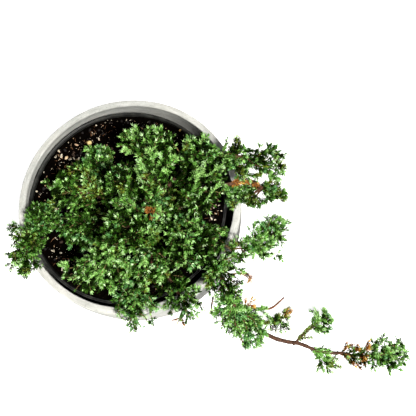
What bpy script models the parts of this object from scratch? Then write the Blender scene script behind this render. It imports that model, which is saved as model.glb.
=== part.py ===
"""Trailing juniper bonsai in a round pot: planter, liner, soil, trunk, boughs and masses of foliage.

Metres, +Z up. The origin is the middle of the planter's flat underside. +X points the way the long
trailing bough leaves the pot, and -Y is the side that the crown leans over.
"""

import math

import bmesh
import bpy
from mathutils import Matrix, Vector, noise

MM = 0.001
GAP = 0.35 * MM  # left between two pieces that meet, because touching meshes would overlap

# Planter: a round bowl with a slight belly. Its rim is the driving size.
RIM_RADIUS = 90 * MM
RIM_HEIGHT = 135 * MM
RIM_WIDTH = 5.7 * MM
BELLY_RADIUS = 94 * MM
BELLY_HEIGHT = 75 * MM
FOOT_RADIUS = 68 * MM
FLOOR_THICKNESS = 8 * MM
LOWER_WALL_EXTRA = 1.5 * MM  # how much thicker the wall is at the foot than at the rim
TURNED_STEPS = 40

# Liner: the black nursery pot in the planter, pushed over until it nearly touches it on the left.
LIP_RADIUS = 81.4 * MM
LIP_DEPTH = 6 * MM  # below the planter's rim
LIP_WIDTH = 1.4 * MM
LIP_HEIGHT = 7 * MM
LINER_WALL = 0.8 * MM
LINER_FOOT_RADIUS = 60 * MM
LINER_SHIFT = Vector((-2.8 * MM, -0.3 * MM, 0))

# Soil: fills the liner to just under its lip.
SOIL_DEPTH = 2.2 * MM  # mean depth of the surface below the liner's lip
SOIL_LUMPS = 0.9 * MM
SOIL_RINGS = 5
SOIL_STEPS = 32

# Trunk: from a flat cut on the soil, leaning over towards the trailing bough.
TRUNK_FOOT = Vector((12 * MM, -9 * MM, 0))
TRUNK_LEAN = Vector((11 * MM, -8 * MM, 28 * MM))  # from the middle of the foot to the tip
TRUNK_RADIUS = 6.6 * MM
TRUNK_TIP_RADIUS = 3.6 * MM
ROOT_FLARE = 3.4 * MM
FLARE_HEIGHT = 6 * MM
FLARE_LOBES = 5
TRUNK_SIDES = 14
TRUNK_RINGS = 10

BOUGH_SIDES = 6
BOUGH_RINGS = 7
BOUGH_WANDER = 0.045  # sideways waver of a bough, as a share of its length

MASS_DETAIL = 3  # cuts of an icosahedron's edges on a mass: 20 * 3 * 3 faces
SMALL_MASS_DETAIL = 2
SMALL_MASS = 12 * MM  # a mass whose longer half is under this is a small one
UNEVENNESS = 0.15
UNDERSIDE = 0.72  # a mass is flatter below than above
RIM_CLEARANCE = 1.6 * MM
SOIL_CLEARANCE = 4 * MM

# Each mass: middle (x, y), height of its middle above the planter's rim, half length, half width,
# half depth (all in mm), and the heading of its length in degrees from +X.
MASSES = {
    "foliage_top_sprig": (4, 40, 34, 12, 9, 7, 80),
    "foliage_top": (27, 23, 45, 21, 16, 13, 95),
    "foliage_upper_right": (58, 28, 39, 15, 13, 11, 40),
    "foliage_right": (62, -3, 41, 23, 16, 13, 80),
    "foliage_right_outer_upper": (101, 28, 22, 22, 15, 9, 8),
    "foliage_right_outer_lower": (103, 4, 6, 25, 10, 6, -4),
    "foliage_upper_left": (-26, 32, 4, 15, 11, 9, 75),
    "foliage_left_upper": (-43, 7, 14, 23, 18, 12, 60),
    "foliage_middle_upper": (3, 3, 34, 19, 17, 13, 50),
    "foliage_left_inner": (-65, -17, 9, 15, 12, 8, 60),
    "foliage_left_low": (-37, -25, 9, 18, 16, 9, 120),
    "foliage_left_outer": (-76, -41, 10, 20, 12, 8, 85),
    "foliage_middle": (7, -31, 46, 20, 18, 15, 80),
    "foliage_lower_left": (-19, -59, 21, 25, 16, 12, 8),
    "foliage_lower_inner": (21, -55, 24, 17, 14, 11, 100),
    "foliage_bottom": (10, -83, 10, 18, 13, 8, 100),
    "foliage_bottom_right": (45, -79, 12, 17, 15, 9, 120),
    "foliage_lower_middle": (52, -39, 36, 24, 22, 14, 40),
    "foliage_lower_right": (74, -64, 24, 18, 14, 11, 100),
    "foliage_trail_start": (87, -94, 8, 24, 13, 9, -44),
    "foliage_right_sprig": (111, -31, 8, 20, 12, 8, 62),
    "foliage_right_small": (86, -40, 10, 11, 7, 6, 75),
    "foliage_trail_side": (118, -93, -2, 11, 7, 5, 20),
    "foliage_trail_upright": (151, -93, -5, 12, 9, 7, 70),
    "foliage_trail_under": (159, -125, -23, 11.5, 9, 5, -40),
    "foliage_trail_inner": (180, -120, -17, 14, 10, 7, 0),
    "foliage_trail_tip": (204, -119, -15, 16, 13, 8, 0),
}

# Each bough: what it grows from and the share of the way along it (None on a mass), the mass that
# it grows into, its two radii, and how far its middle is lifted and swung to its left (all in mm).
BOUGHS = {
    "bough_north": ("trunk", 0.86, "foliage_top", 3.0, 1.7, -5, 0),
    "bough_east": ("trunk", 0.93, "foliage_right", 3.0, 1.8, -7, 0),
    "bough_south_east": ("trunk", 0.97, "foliage_lower_middle", 3.2, 2.0, -5, 0),
    "bough_middle": ("trunk", 0.90, "foliage_middle", 2.4, 1.6, -6, 0),
    "bough_lower_inner": ("trunk", 0.80, "foliage_lower_inner", 2.2, 1.4, -3, 0),
    "bough_south": ("trunk", 0.62, "foliage_bottom", 2.7, 1.5, 0, -3),
    "bough_south_west": ("trunk", 0.60, "foliage_lower_left", 2.6, 1.5, -2, 0),
    "bough_west": ("trunk", 0.46, "foliage_left_low", 2.6, 1.5, -1, 0),
    "bough_north_west": ("trunk", 0.64, "foliage_left_upper", 2.7, 1.5, -3, 0),
    "bough_north_east": ("bough_north", 0.40, "foliage_upper_right", 2.1, 1.3, -4, 0),
    "bough_middle_upper": ("bough_north", 0.22, "foliage_middle_upper", 2.1, 1.3, -2, 0),
    "bough_upper_left": ("bough_north_west", 0.42, "foliage_upper_left", 1.8, 1.1, -3, 0),
    "bough_bottom_right": ("bough_south", 0.40, "foliage_bottom_right", 2.0, 1.3, -2, 3),
    "bough_top_sprig": ("foliage_top", None, "foliage_top_sprig", 1.3, 0.8, -2, 0),
    "bough_right_outer_upper": ("foliage_upper_right", None, "foliage_right_outer_upper", 1.5, 1.0, 0, 0),
    "bough_right_outer_lower": ("foliage_right", None, "foliage_right_outer_lower", 1.8, 1.1, 8, 12),
    "bough_left_inner": ("foliage_left_low", None, "foliage_left_inner", 1.7, 1.3, 0, 0),
    "bough_left_outer": ("foliage_left_inner", None, "foliage_left_outer", 1.3, 1.0, 1, 0),
    "bough_lower_right": ("foliage_lower_middle", None, "foliage_lower_right", 2.2, 1.8, 0, 0),
    "bough_right_small": ("foliage_lower_middle", None, "foliage_right_small", 1.3, 0.9, 0, 0),
    "bough_right_sprig": ("foliage_right_small", None, "foliage_right_sprig", 1.1, 0.8, -2, -3),
    "bough_trail_start": ("foliage_lower_right", None, "foliage_trail_start", 2.1, 1.8, 2, 0),
    "bough_trailing": ("foliage_trail_start", None, "foliage_trail_inner", 1.7, 0.95, 0, -7.5),
    "bough_trail_tip": ("foliage_trail_inner", None, "foliage_trail_tip", 1.0, 0.8, 0, 0),
    "bough_trail_side": ("foliage_trail_start", None, "foliage_trail_side", 0.9, 0.6, 1, -3),
    "bough_trail_upright": ("bough_trailing", 0.42, "foliage_trail_upright", 0.95, 0.7, 1, 0),
    "bough_trail_under": ("bough_trailing", 0.66, "foliage_trail_under", 0.8, 0.6, 0, 0),
}

# The bough that runs out over a long mass before it dips in: how far along that mass (in halves).
FAR_ENTRIES = {"bough_right_outer_lower": 0.45}

# The bare dead twig beside the start of the trail: its ends (x, y, height above the rim) in mm.
DEAD_TWIG_START = (91, -84, 8)
DEAD_TWIG_TIP = (121, -77, 1)
DEAD_TWIG_RADII = (0.95, 0.45)
DEAD_TWIG_LIFT = -3
DEAD_TWIG_SWING = -6

ROOTED_SHARE = 0.25  # a bough out of a mass starts this share of the way from its middle to its edge
REACH_SHARE = 0.45  # a bough into a mass stops this share of the way from its edge to its middle

# Colours: base colour, roughness, metallic.
MATERIALS = {
    "planter_stone": ((0.78, 0.77, 0.72, 1), 0.85, 0.0),
    "liner_plastic": ((0.015, 0.016, 0.015, 1), 0.45, 0.0),
    "potting_soil": ((0.035, 0.02, 0.012, 1), 0.95, 0.0),
    "bark": ((0.2, 0.11, 0.065, 1), 0.85, 0.0),
    "foliage": ((0.08, 0.24, 0.075, 1), 0.6, 0.0),
}


def clear_scene():
    for obj in list(bpy.data.objects):
        bpy.data.objects.remove(obj)


def material(name):
    found = bpy.data.materials.get(name)
    if found:
        return found
    colour, roughness, metallic = MATERIALS[name]
    made = bpy.data.materials.new(name)
    made.use_nodes = True
    shader = made.node_tree.nodes["Principled BSDF"]
    shader.inputs["Base Color"].default_value = colour
    shader.inputs["Roughness"].default_value = roughness
    shader.inputs["Metallic"].default_value = metallic
    return made


def add_object(name, mesh, finish):
    obj = bpy.data.objects.new(name, mesh)
    bpy.context.scene.collection.objects.link(obj)
    mesh.materials.append(material(finish))
    return obj


def mesh_from(name, bm, faces_out=False):
    if not faces_out:
        bmesh.ops.recalc_face_normals(bm, faces=bm.faces)
    mesh = bpy.data.meshes.new(name)
    bm.to_mesh(mesh)
    bm.free()
    mesh.shade_smooth()
    mesh.set_sharp_from_angle(angle=math.radians(50))
    return mesh


def as_cutter(obj):
    """A helper that shapes other pieces and isn't one itself."""
    obj.hide_render = True
    obj.display_type = "WIRE"
    return obj


def cut(obj, cutter):
    boolean = obj.modifiers.new("cut_" + cutter.name, "BOOLEAN")
    boolean.operation = "DIFFERENCE"
    boolean.solver = "EXACT"
    boolean.object = cutter


# ---- Pot ----------------------------------------------------------------------------------------


def turned(name, profile, finish, shift=Vector()):
    """A closed solid turned about +Z from (radius, height) points. The first and last lie on the axis."""
    bm = bmesh.new()
    rings = []
    for radius, height in profile:
        steps = TURNED_STEPS if radius > 0 else 1
        turns = [2 * math.pi * i / steps for i in range(steps)]
        rings.append([bm.verts.new((radius * math.cos(t), radius * math.sin(t), height)) for t in turns])
    for below, above in zip(rings, rings[1:]):
        for i in range(TURNED_STEPS):
            j = (i + 1) % TURNED_STEPS
            corners = [below[i % len(below)], below[j % len(below)], above[j % len(above)], above[i % len(above)]]
            bm.faces.new(list(dict.fromkeys(corners)))
    bmesh.ops.translate(bm, verts=bm.verts, vec=shift)
    return add_object(name, mesh_from(name, bm), finish)


def arc(centre, radius, start, end, steps):
    """(radius, height) points of an arc of a turned profile, from start to end in degrees."""
    turns = [math.radians(start + (end - start) * i / steps) for i in range(steps + 1)]
    return [(centre[0] + radius * math.cos(t), centre[1] + radius * math.sin(t)) for t in turns]


def planter_radius(height):
    """Outer radius of the planter: two parabolas that meet at the belly."""
    if height > BELLY_HEIGHT:
        share = (height - BELLY_HEIGHT) / (RIM_HEIGHT - BELLY_HEIGHT)
        return BELLY_RADIUS - (BELLY_RADIUS - RIM_RADIUS) * share**2
    share = (BELLY_HEIGHT - height) / BELLY_HEIGHT
    return BELLY_RADIUS - (BELLY_RADIUS - FOOT_RADIUS) * share**2.4


def planter_inner_radius(height):
    wall = RIM_WIDTH + LOWER_WALL_EXTRA * (1 - height / RIM_HEIGHT)
    return planter_radius(height) - wall


def make_planter():
    lip = 1.6 * MM  # rounding of the rim's two edges
    foot_edge = 3 * MM
    wall_rows = 4
    lowest, highest = foot_edge, RIM_HEIGHT - lip
    heights = [lowest + (highest - lowest) * i / wall_rows for i in range(wall_rows + 1)]
    outside = [(planter_radius(z), z) for z in heights]
    rim = arc((RIM_RADIUS - lip, RIM_HEIGHT - lip), lip, 30, 90, 2)
    rim += arc((RIM_RADIUS - RIM_WIDTH + lip, RIM_HEIGHT - lip), lip, 90, 150, 2)
    inner_heights = [z for z in reversed(heights) if z > FLOOR_THICKNESS * 1.5]
    inside = [(planter_inner_radius(z), z) for z in inner_heights]
    corner = (planter_inner_radius(FLOOR_THICKNESS) - foot_edge, FLOOR_THICKNESS)
    foot = [(0, 0), (FOOT_RADIUS - foot_edge, 0)]
    profile = foot + outside + rim + inside + [corner, (0, FLOOR_THICKNESS)]
    return turned("planter", profile, "planter_stone")


def liner_radius(height):
    """Outer radius of the liner's wall, which tapers evenly to its foot."""
    top = RIM_HEIGHT - LIP_DEPTH
    return LINER_FOOT_RADIUS + (LIP_RADIUS - LIP_WIDTH - LINER_FOOT_RADIUS) * height / top


def make_liner():
    top = RIM_HEIGHT - LIP_DEPTH
    bottom = FLOOR_THICKNESS + GAP
    under_lip = top - LIP_HEIGHT
    roll = LIP_WIDTH / 2
    lip = [(LIP_RADIUS, under_lip)] + arc((LIP_RADIUS - roll, top - roll), roll, 0, 150, 4)
    inside_top = (liner_radius(top - roll) - LINER_WALL, top - 2 * roll)
    inside_bottom = (liner_radius(bottom) - LINER_WALL, bottom + LINER_WALL * 2)
    outside = [(0, bottom), (liner_radius(bottom), bottom), (liner_radius(under_lip), under_lip)]
    profile = outside + lip + [inside_top, inside_bottom, (0, bottom + LINER_WALL * 2)]
    return turned("liner", profile, "liner_plastic", LINER_SHIFT)


def soil_height(x, y):
    """Height of the soil's uneven surface, which is even round the trunk's foot."""
    mean = RIM_HEIGHT - LIP_DEPTH - SOIL_DEPTH
    lump = noise.noise(Vector((x, y, 0)) * 45) + 0.5 * noise.noise(Vector((x, y, 0.02)) * 110)
    level = noise.noise(Vector((TRUNK_FOOT.x, TRUNK_FOOT.y, 0)) * 45)
    near_trunk = math.exp(-((Vector((x, y, 0)) - TRUNK_FOOT).length / (14 * MM)) ** 4)
    return mean + SOIL_LUMPS * (lump * (1 - near_trunk) + level * near_trunk)


def make_soil():
    bm = bmesh.new()
    bottom = FLOOR_THICKNESS + LINER_WALL * 2 + 2 * GAP
    middle = LINER_SHIFT
    edge_height = RIM_HEIGHT - LIP_DEPTH - SOIL_DEPTH
    reach = liner_radius(edge_height) - LINER_WALL - 3 * GAP
    foot_reach = liner_radius(bottom) - LINER_WALL - 3 * GAP
    turns = [2 * math.pi * i / SOIL_STEPS for i in range(SOIL_STEPS)]
    centre = bm.verts.new((middle.x, middle.y, soil_height(middle.x, middle.y)))
    rings = [[centre]]
    for ring in range(1, SOIL_RINGS + 1):
        radius = reach * ring / SOIL_RINGS
        spots = [(middle.x + radius * math.cos(t), middle.y + radius * math.sin(t)) for t in turns]
        rings.append([bm.verts.new((x, y, soil_height(x, y))) for x, y in spots])
    foot = [(middle.x + foot_reach * math.cos(t), middle.y + foot_reach * math.sin(t)) for t in turns]
    rings.append([bm.verts.new((x, y, bottom)) for x, y in foot])
    for inner, outer in zip(rings, rings[1:]):
        for i in range(SOIL_STEPS):
            j = (i + 1) % SOIL_STEPS
            corners = [inner[i % len(inner)], outer[i], outer[j], inner[j % len(inner)]]
            bm.faces.new(list(dict.fromkeys(corners)))
    bm.faces.new(rings[-1])
    return add_object("soil", mesh_from("soil", bm), "potting_soil")


# ---- Limbs --------------------------------------------------------------------------------------


def bezier(a, b, c, d, t):
    s = 1 - t
    return a * s**3 + b * 3 * s * s * t + c * 3 * s * t * t + d * t**3


def loft(name, path, radii, sides, wave=None, grow=0.0):
    """A closed limb round a path. wave(ring, turn) adds to the radius, and grow to all of it."""
    bm = bmesh.new()
    rings = []
    side = None
    for k, point in enumerate(path):
        ahead = (path[min(k + 1, len(path) - 1)] - path[max(k - 1, 0)]).normalized()
        if side is None:
            side = ahead.cross(Vector((0.3, 0.2, 1))).normalized()
        side = (side - ahead * side.dot(ahead)).normalized()
        other = ahead.cross(side)
        ring = []
        for i in range(sides):
            turn = 2 * math.pi * i / sides
            radius = radii[k] + grow + (wave(k, turn) if wave else 0)
            ring.append(bm.verts.new(point + (side * math.cos(turn) + other * math.sin(turn)) * radius))
        rings.append(ring)
    for below, above in zip(rings, rings[1:]):
        for i in range(sides):
            j = (i + 1) % sides
            bm.faces.new([below[i], below[j], above[j], above[i]])
    bm.faces.new(list(reversed(rings[0])))
    bm.faces.new(rings[-1])
    return mesh_from(name, bm)


def trunk_foot():
    foot = TRUNK_FOOT.copy()
    foot.z = max(soil_height(foot.x + dx * MM, foot.y + dy * MM) for dx in (-9, 0, 9) for dy in (-9, 0, 9))
    foot.z += GAP
    return foot


def trunk_point(share):
    """The trunk's centreline: straight up out of the soil, then leaning over."""
    foot = trunk_foot()
    tip = foot + TRUNK_LEAN
    up = Vector((0, 0, TRUNK_LEAN.z * 0.45))
    return bezier(foot, foot + up, tip - TRUNK_LEAN * 0.3, tip, share)


def trunk_radius(share):
    taper = TRUNK_RADIUS + (TRUNK_TIP_RADIUS - TRUNK_RADIUS) * share
    rounded = 1 - 0.5 * max(0.0, (share - 0.9) / 0.1) ** 2
    return taper * rounded


def make_trunk(name, grow=0.0):
    shares = [(k / (TRUNK_RINGS - 1)) ** 1.3 for k in range(TRUNK_RINGS)]
    path = [trunk_point(s) for s in shares]
    # The flat cut: the lowest ring lies level on the soil.
    path[1].x, path[1].y = path[0].x, path[0].y

    def flare(k, turn):
        rise = path[k].z - path[0].z
        lobes = 0.55 + 0.45 * math.cos(FLARE_LOBES * turn + 0.6)
        return ROOT_FLARE * lobes * math.exp(-rise / FLARE_HEIGHT)

    radii = [trunk_radius(s) for s in shares]
    mesh = loft(name, path, radii, TRUNK_SIDES, flare, grow)
    lowest = path[0].z
    for vertex in mesh.vertices[:TRUNK_SIDES]:
        vertex.co.z = lowest - (grow if grow else 0)
    return add_object(name, mesh, "bark")


class Limb:
    """A bough's centreline and radii, from inside what it grows from to inside what it grows into."""

    def __init__(self, start, end, first_radius, last_radius, lift, swing, leave):
        run = end - start
        level = Vector((run.x, run.y, 0))
        self.length = run.length
        self.across = Vector((-run.y, run.x, 0)).normalized()
        moved = Vector((0, 0, lift)) + self.across * swing
        self.curve = (start, start + leave * run.length * 0.33 + moved, end - level * 0.3 + moved, end)
        self.first_radius = first_radius
        self.last_radius = last_radius

    def point(self, share):
        waver = math.sin(share * math.pi) * math.sin(share * 2.2 * math.pi + self.length / MM)
        return bezier(*self.curve, share) + self.across * waver * BOUGH_WANDER * self.length

    def radius(self, share):
        return self.first_radius + (self.last_radius - self.first_radius) * share

    def direction(self, share):
        return (self.point(min(share + 0.02, 1)) - self.point(max(share - 0.02, 0))).normalized()

    def mesh(self, name, grow=0.0):
        shares = [k / (BOUGH_RINGS - 1) for k in range(BOUGH_RINGS)]
        path = [self.point(s) for s in shares]
        return loft(name, path, [self.radius(s) for s in shares], BOUGH_SIDES, None, grow)


# ---- Foliage ------------------------------------------------------------------------------------


def above_rim(x, y, rise):
    return Vector((x * MM, y * MM, RIM_HEIGHT + rise * MM))


def mass_middle(name):
    return above_rim(*MASSES[name][:3])


def mass_halves(name):
    return [size * MM for size in MASSES[name][3:6]]


def mass_reach(name, direction):
    """Half size of the mass's plain ellipsoid along a unit direction."""
    heading = math.radians(MASSES[name][6])
    local = Matrix.Rotation(-heading, 3, "Z") @ direction
    return 1 / math.sqrt(sum((part / half) ** 2 for part, half in zip(local, mass_halves(name))))


def neighbour_planes(name):
    """Planes (point, normal) that keep the mass clear of each near neighbour, split by their sizes."""
    middle = mass_middle(name)
    planes = []
    for other in MASSES:
        if other == name:
            continue
        span = mass_middle(other) - middle
        mine = mass_reach(name, span.normalized())
        theirs = mass_reach(other, -span.normalized())
        if span.length > 1.8 * (mine + theirs):
            continue
        share = mine / (mine + theirs)
        normal = span.normalized()
        planes.append((middle + span * share - normal * GAP * 2, normal))
    return planes


def mass_floor(name):
    """Lowest height of a mass: clear of the rim if it reaches over it, and of the soil if not."""
    middle = mass_middle(name)
    half = max(mass_halves(name)[:2])
    flat = math.hypot(middle.x, middle.y)
    if flat - half > BELLY_RADIUS:
        return 0.0
    if flat + half > LIP_RADIUS - LIP_WIDTH - 4 * MM:
        return RIM_HEIGHT + RIM_CLEARANCE
    return RIM_HEIGHT - LIP_DEPTH - SOIL_DEPTH + SOIL_CLEARANCE


def make_mass(name, label, grow=0.0):
    """One uneven closed mass. Its points are drawn back along their rays to clear its neighbours."""
    halves = mass_halves(name)
    middle = mass_middle(name)
    heading = math.radians(MASSES[name][6])
    turn = Matrix.Rotation(heading, 3, "Z")
    planes = neighbour_planes(name)
    lowest = mass_floor(name)
    seed = Vector((middle.x, middle.y, middle.z)) * 300
    detail = SMALL_MASS_DETAIL if halves[0] < SMALL_MASS else MASS_DETAIL
    bm = bmesh.new()
    bmesh.ops.create_icosphere(bm, subdivisions=1, radius=1)
    bmesh.ops.subdivide_edges(bm, edges=bm.edges, cuts=detail - 1, use_grid_fill=True)
    for vertex in bm.verts:
        ray = vertex.co.normalized()
        lobes = noise.noise(ray * 1.6 + seed) + 0.6 * noise.noise(ray * 3.4 + seed * 2)
        swell = 1 + UNEVENNESS * lobes * 2
        depth = halves[2] * (UNDERSIDE if ray.z < 0 else 1)
        local = Vector((ray.x * halves[0], ray.y * halves[1], ray.z * depth)) * swell
        spoke = turn @ local
        shrink = 1.0
        for point, normal in planes:
            ahead = spoke.dot(normal)
            room = (point - middle).dot(normal)
            if ahead > room:
                shrink = min(shrink, room / ahead)
        if spoke.z * shrink < lowest - middle.z:
            shrink = min(shrink, (lowest - middle.z) / spoke.z)
        spoke *= shrink
        vertex.co = middle + spoke * (1 + grow / spoke.length)
    return add_object(label, mesh_from(label, bm, faces_out=True), "foliage")


# ---- Plant --------------------------------------------------------------------------------------


def limb_from(parent, share, limbs, end, first_radius, last_radius, lift, swing):
    """A limb that starts on the trunk, on a bough or inside a mass."""
    if parent == "trunk":
        start = trunk_point(share)
        level = Vector((end.x - start.x, end.y - start.y, 0)).normalized()
        leave = (level + Vector((0, 0, 0.35))).normalized()
    elif parent in limbs:
        start = limbs[parent].point(share)
        leave = (limbs[parent].direction(share) + (end - start).normalized() * 2).normalized()
    else:
        middle = mass_middle(parent)
        leave = (end - middle).normalized()
        start = middle + leave * mass_reach(parent, leave) * ROOTED_SHARE
    return Limb(start, end, first_radius * MM, last_radius * MM, lift * MM, swing * MM, leave)


def goal_in(mass, origin, along):
    """Where a bough from origin stops inside a mass: before its middle, or further along it."""
    middle = mass_middle(mass)
    heading = math.radians(MASSES[mass][6])
    if along:
        return middle + Vector((math.cos(heading), math.sin(heading), 0)) * mass_halves(mass)[0] * along
    back = (origin - middle).normalized()
    return middle + back * mass_reach(mass, back) * (1 - REACH_SHARE)


def origin_of(parent, share, limbs):
    if parent == "trunk":
        return trunk_point(share)
    if parent in limbs:
        return limbs[parent].point(share)
    return mass_middle(parent)


def make_boughs(cutters):
    limbs = {}
    for name, (parent, share, mass, *sizes) in BOUGHS.items():
        end = goal_in(mass, origin_of(parent, share, limbs), FAR_ENTRIES.get(name, 0))
        limbs[name] = limb_from(parent, share, limbs, end, *sizes)
        bough = add_object(name, limbs[name].mesh(name), "bark")
        cutters[name] = as_cutter(add_object("cutter_" + name, limbs[name].mesh("cutter_" + name, GAP), "bark"))
        cut(bough, cutters[parent])
        cut(bough, cutters[mass])
        # Boughs that leave the same limb close together are cut clear of each other.
        for earlier in limbs:
            if earlier != name and BOUGHS[earlier][0] == parent and parent == "trunk":
                cut(bough, cutters[earlier])


def make_dead_twig(cutters):
    start, tip = above_rim(*DEAD_TWIG_START), above_rim(*DEAD_TWIG_TIP)
    first_radius, last_radius = (radius * MM for radius in DEAD_TWIG_RADII)
    leave = (tip - start).normalized()
    twig = Limb(start, tip, first_radius, last_radius, DEAD_TWIG_LIFT * MM, DEAD_TWIG_SWING * MM, leave)
    cut(add_object("dead_twig", twig.mesh("dead_twig"), "bark"), cutters["foliage_trail_start"])


def make_plant():
    make_trunk("trunk")
    cutters = {"trunk": as_cutter(make_trunk("cutter_trunk", GAP))}
    for name in MASSES:
        make_mass(name, name)
        cutters[name] = as_cutter(make_mass(name, "cutter_" + name, GAP))
    make_boughs(cutters)
    make_dead_twig(cutters)


clear_scene()
make_planter()
make_liner()
make_soil()
make_plant()
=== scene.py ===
"""Looks of a trailing juniper bonsai in a round pale planter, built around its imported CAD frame.

The pot, liner and soil are turned and scattered meshes. The plant grows from the CAD limbs: each mass
of foliage is replaced by a small tree of twigs, whose last stretches carry sprays of awl-shaped
needles in whorls of three. Everything is in metres, in the CAD frame, with +Z up.
"""

import math
import random
from itertools import combinations

import bpy
import numpy as np
from mathutils import Matrix, Vector, noise
from mathutils.bvhtree import BVHTree
from mathutils.geometry import interpolate_bezier


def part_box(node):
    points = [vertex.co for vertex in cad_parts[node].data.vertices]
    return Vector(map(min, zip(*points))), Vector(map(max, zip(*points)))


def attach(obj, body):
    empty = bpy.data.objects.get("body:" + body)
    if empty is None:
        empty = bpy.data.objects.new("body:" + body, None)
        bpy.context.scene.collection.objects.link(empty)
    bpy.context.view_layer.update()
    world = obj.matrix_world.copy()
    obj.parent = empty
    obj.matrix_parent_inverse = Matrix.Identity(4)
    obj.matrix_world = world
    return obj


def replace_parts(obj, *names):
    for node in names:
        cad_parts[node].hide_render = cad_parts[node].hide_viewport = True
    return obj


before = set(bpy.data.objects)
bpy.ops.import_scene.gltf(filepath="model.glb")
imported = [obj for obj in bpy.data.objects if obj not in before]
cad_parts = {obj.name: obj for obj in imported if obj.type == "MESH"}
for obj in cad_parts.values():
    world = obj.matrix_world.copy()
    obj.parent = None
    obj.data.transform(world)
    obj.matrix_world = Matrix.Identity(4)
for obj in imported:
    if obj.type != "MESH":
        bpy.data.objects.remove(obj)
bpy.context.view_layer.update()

MM = 0.001
UP = Vector((0, 0, 1))
FULL_TURN = 2 * math.pi
ANY_ROLL = 6.3  # top of the range that a random roll is drawn from
dice = random.Random(20)


def on_circle(radius, angle, middle=(0, 0)):
    """The x and y of a point on a circle."""
    return middle[0] + radius * math.cos(angle), middle[1] + radius * math.sin(angle)


def marks_of(text):
    """Rows of numbers, from text such as "12,34 56,78"."""
    return [tuple(float(part) for part in mark.split(",")) for mark in text.split()]


def marks_by_name(text):
    """The rows of numbers that follow each name."""
    table = {}
    for word in text.split():
        if word[0].isalpha():
            name = word
            table[name] = []
        else:
            table[name] += marks_of(word)
    return table


def placed(name, data):
    """A new object in the scene."""
    thing = bpy.data.objects.new(name, data)
    bpy.context.scene.collection.objects.link(thing)
    return thing


# ---- The view

IMAGE_SIDE = 416
FOCAL_PX = 450  # focal length in pixels of the square image
SENSOR_MM = 36
VIEW_TILT = math.radians(13.93)  # off straight down, towards +Y
RIM_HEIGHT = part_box("planter")[1].z
CAMERA_PLACE = Vector((63.3 * MM, -93.1 * MM, RIM_HEIGHT + 352.4 * MM))


def at_pixel(px, py, rise):
    """The point seen at a pixel of the image, at a height in mm above the planter's rim."""
    ray = Vector(((px - IMAGE_SIDE / 2) / FOCAL_PX, (IMAGE_SIDE / 2 - py) / FOCAL_PX, -1))
    ray = Matrix.Rotation(VIEW_TILT, 3, "X") @ ray
    height = RIM_HEIGHT + rise * MM
    return CAMERA_PLACE + ray * ((height - CAMERA_PLACE.z) / ray.z)


def pixel_of(point):
    ray = Matrix.Rotation(-VIEW_TILT, 3, "X") @ (Vector(point) - CAMERA_PLACE)
    return IMAGE_SIDE / 2 - FOCAL_PX * ray.x / ray.z, IMAGE_SIDE / 2 + FOCAL_PX * ray.y / ray.z


def rise_of(point):
    """Height above the planter's rim in mm."""
    return (point.z - RIM_HEIGHT) / MM


def add_camera():
    data = bpy.data.cameras.new("camera")
    data.sensor_width = SENSOR_MM
    data.lens = SENSOR_MM * FOCAL_PX / IMAGE_SIDE
    data.clip_start = 0.01
    camera = placed("camera", data)
    camera.location = CAMERA_PLACE
    camera.rotation_euler = (VIEW_TILT, 0, 0)
    bpy.context.scene.camera = camera


# ---- Materials


class Shader:
    """A Principled material with short helpers for its procedural nodes."""

    def __init__(self, name, roughness, specular):
        self.material = bpy.data.materials.new(name)
        self.material.use_nodes = True
        self.tree = self.material.node_tree
        self.surface = self.tree.nodes["Principled BSDF"]
        self.fill(self.surface, {"Roughness": roughness, "Specular IOR Level": specular})
        self.place = self.node("TexCoord", {})["Object"]

    def fill(self, node, inputs):
        """Sets a node's inputs, or links those whose value is another node's output."""
        for socket, value in inputs.items():
            if isinstance(value, bpy.types.NodeSocket):
                self.tree.links.new(value, node.inputs[socket])
            else:
                node.inputs[socket].default_value = (*value, 1) if isinstance(value, tuple) else value

    def node(self, kind, inputs, **settings):
        """Adds a node and returns its outputs."""
        made = self.tree.nodes.new("ShaderNode" + kind)
        for key, value in settings.items():
            setattr(made, key, value)
        self.fill(made, inputs)
        return made.outputs

    def math(self, operation, first, second):
        return self.node("Math", {0: first, 1: second}, operation=operation)[0]

    def noise(self, scale, detail=4.0, roughness=0.6, vector=None):
        where = vector or self.place
        inputs = {"Scale": scale, "Detail": detail, "Roughness": roughness, "Vector": where}
        return self.node("TexNoise", inputs)["Fac"]

    def ramp(self, source, *stops):
        """Colours (or grey levels) at positions along a factor."""
        made = self.tree.nodes.new("ShaderNodeValToRGB")
        while len(made.color_ramp.elements) < len(stops):
            made.color_ramp.elements.new(0.5)
        for element, (position, colour) in zip(made.color_ramp.elements, stops):
            element.position = position
            element.color = (colour, colour, colour, 1) if isinstance(colour, float) else (*colour, 1)
        self.fill(made, {"Fac": source})
        return made.outputs["Color"]

    def mix(self, factor, first, second, blend="MIX"):
        inputs = {"Factor": factor, 6: first, 7: second}
        return self.node("Mix", inputs, data_type="RGBA", blend_type=blend)[2]

    def finish(self, colour, height, depth_mm, strength, **others):
        """Wears a base colour and a bump, and returns the material."""
        inputs = {"Distance": depth_mm * MM, "Strength": strength, "Height": height}
        relief = self.node("Bump", inputs)["Normal"]
        self.fill(self.surface, {"Base Color": colour, "Normal": relief, **others})
        return self.material


STREAK_STRETCH = 0.018  # scale of the angle round the pot: the smaller, the longer the wash's streaks


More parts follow.
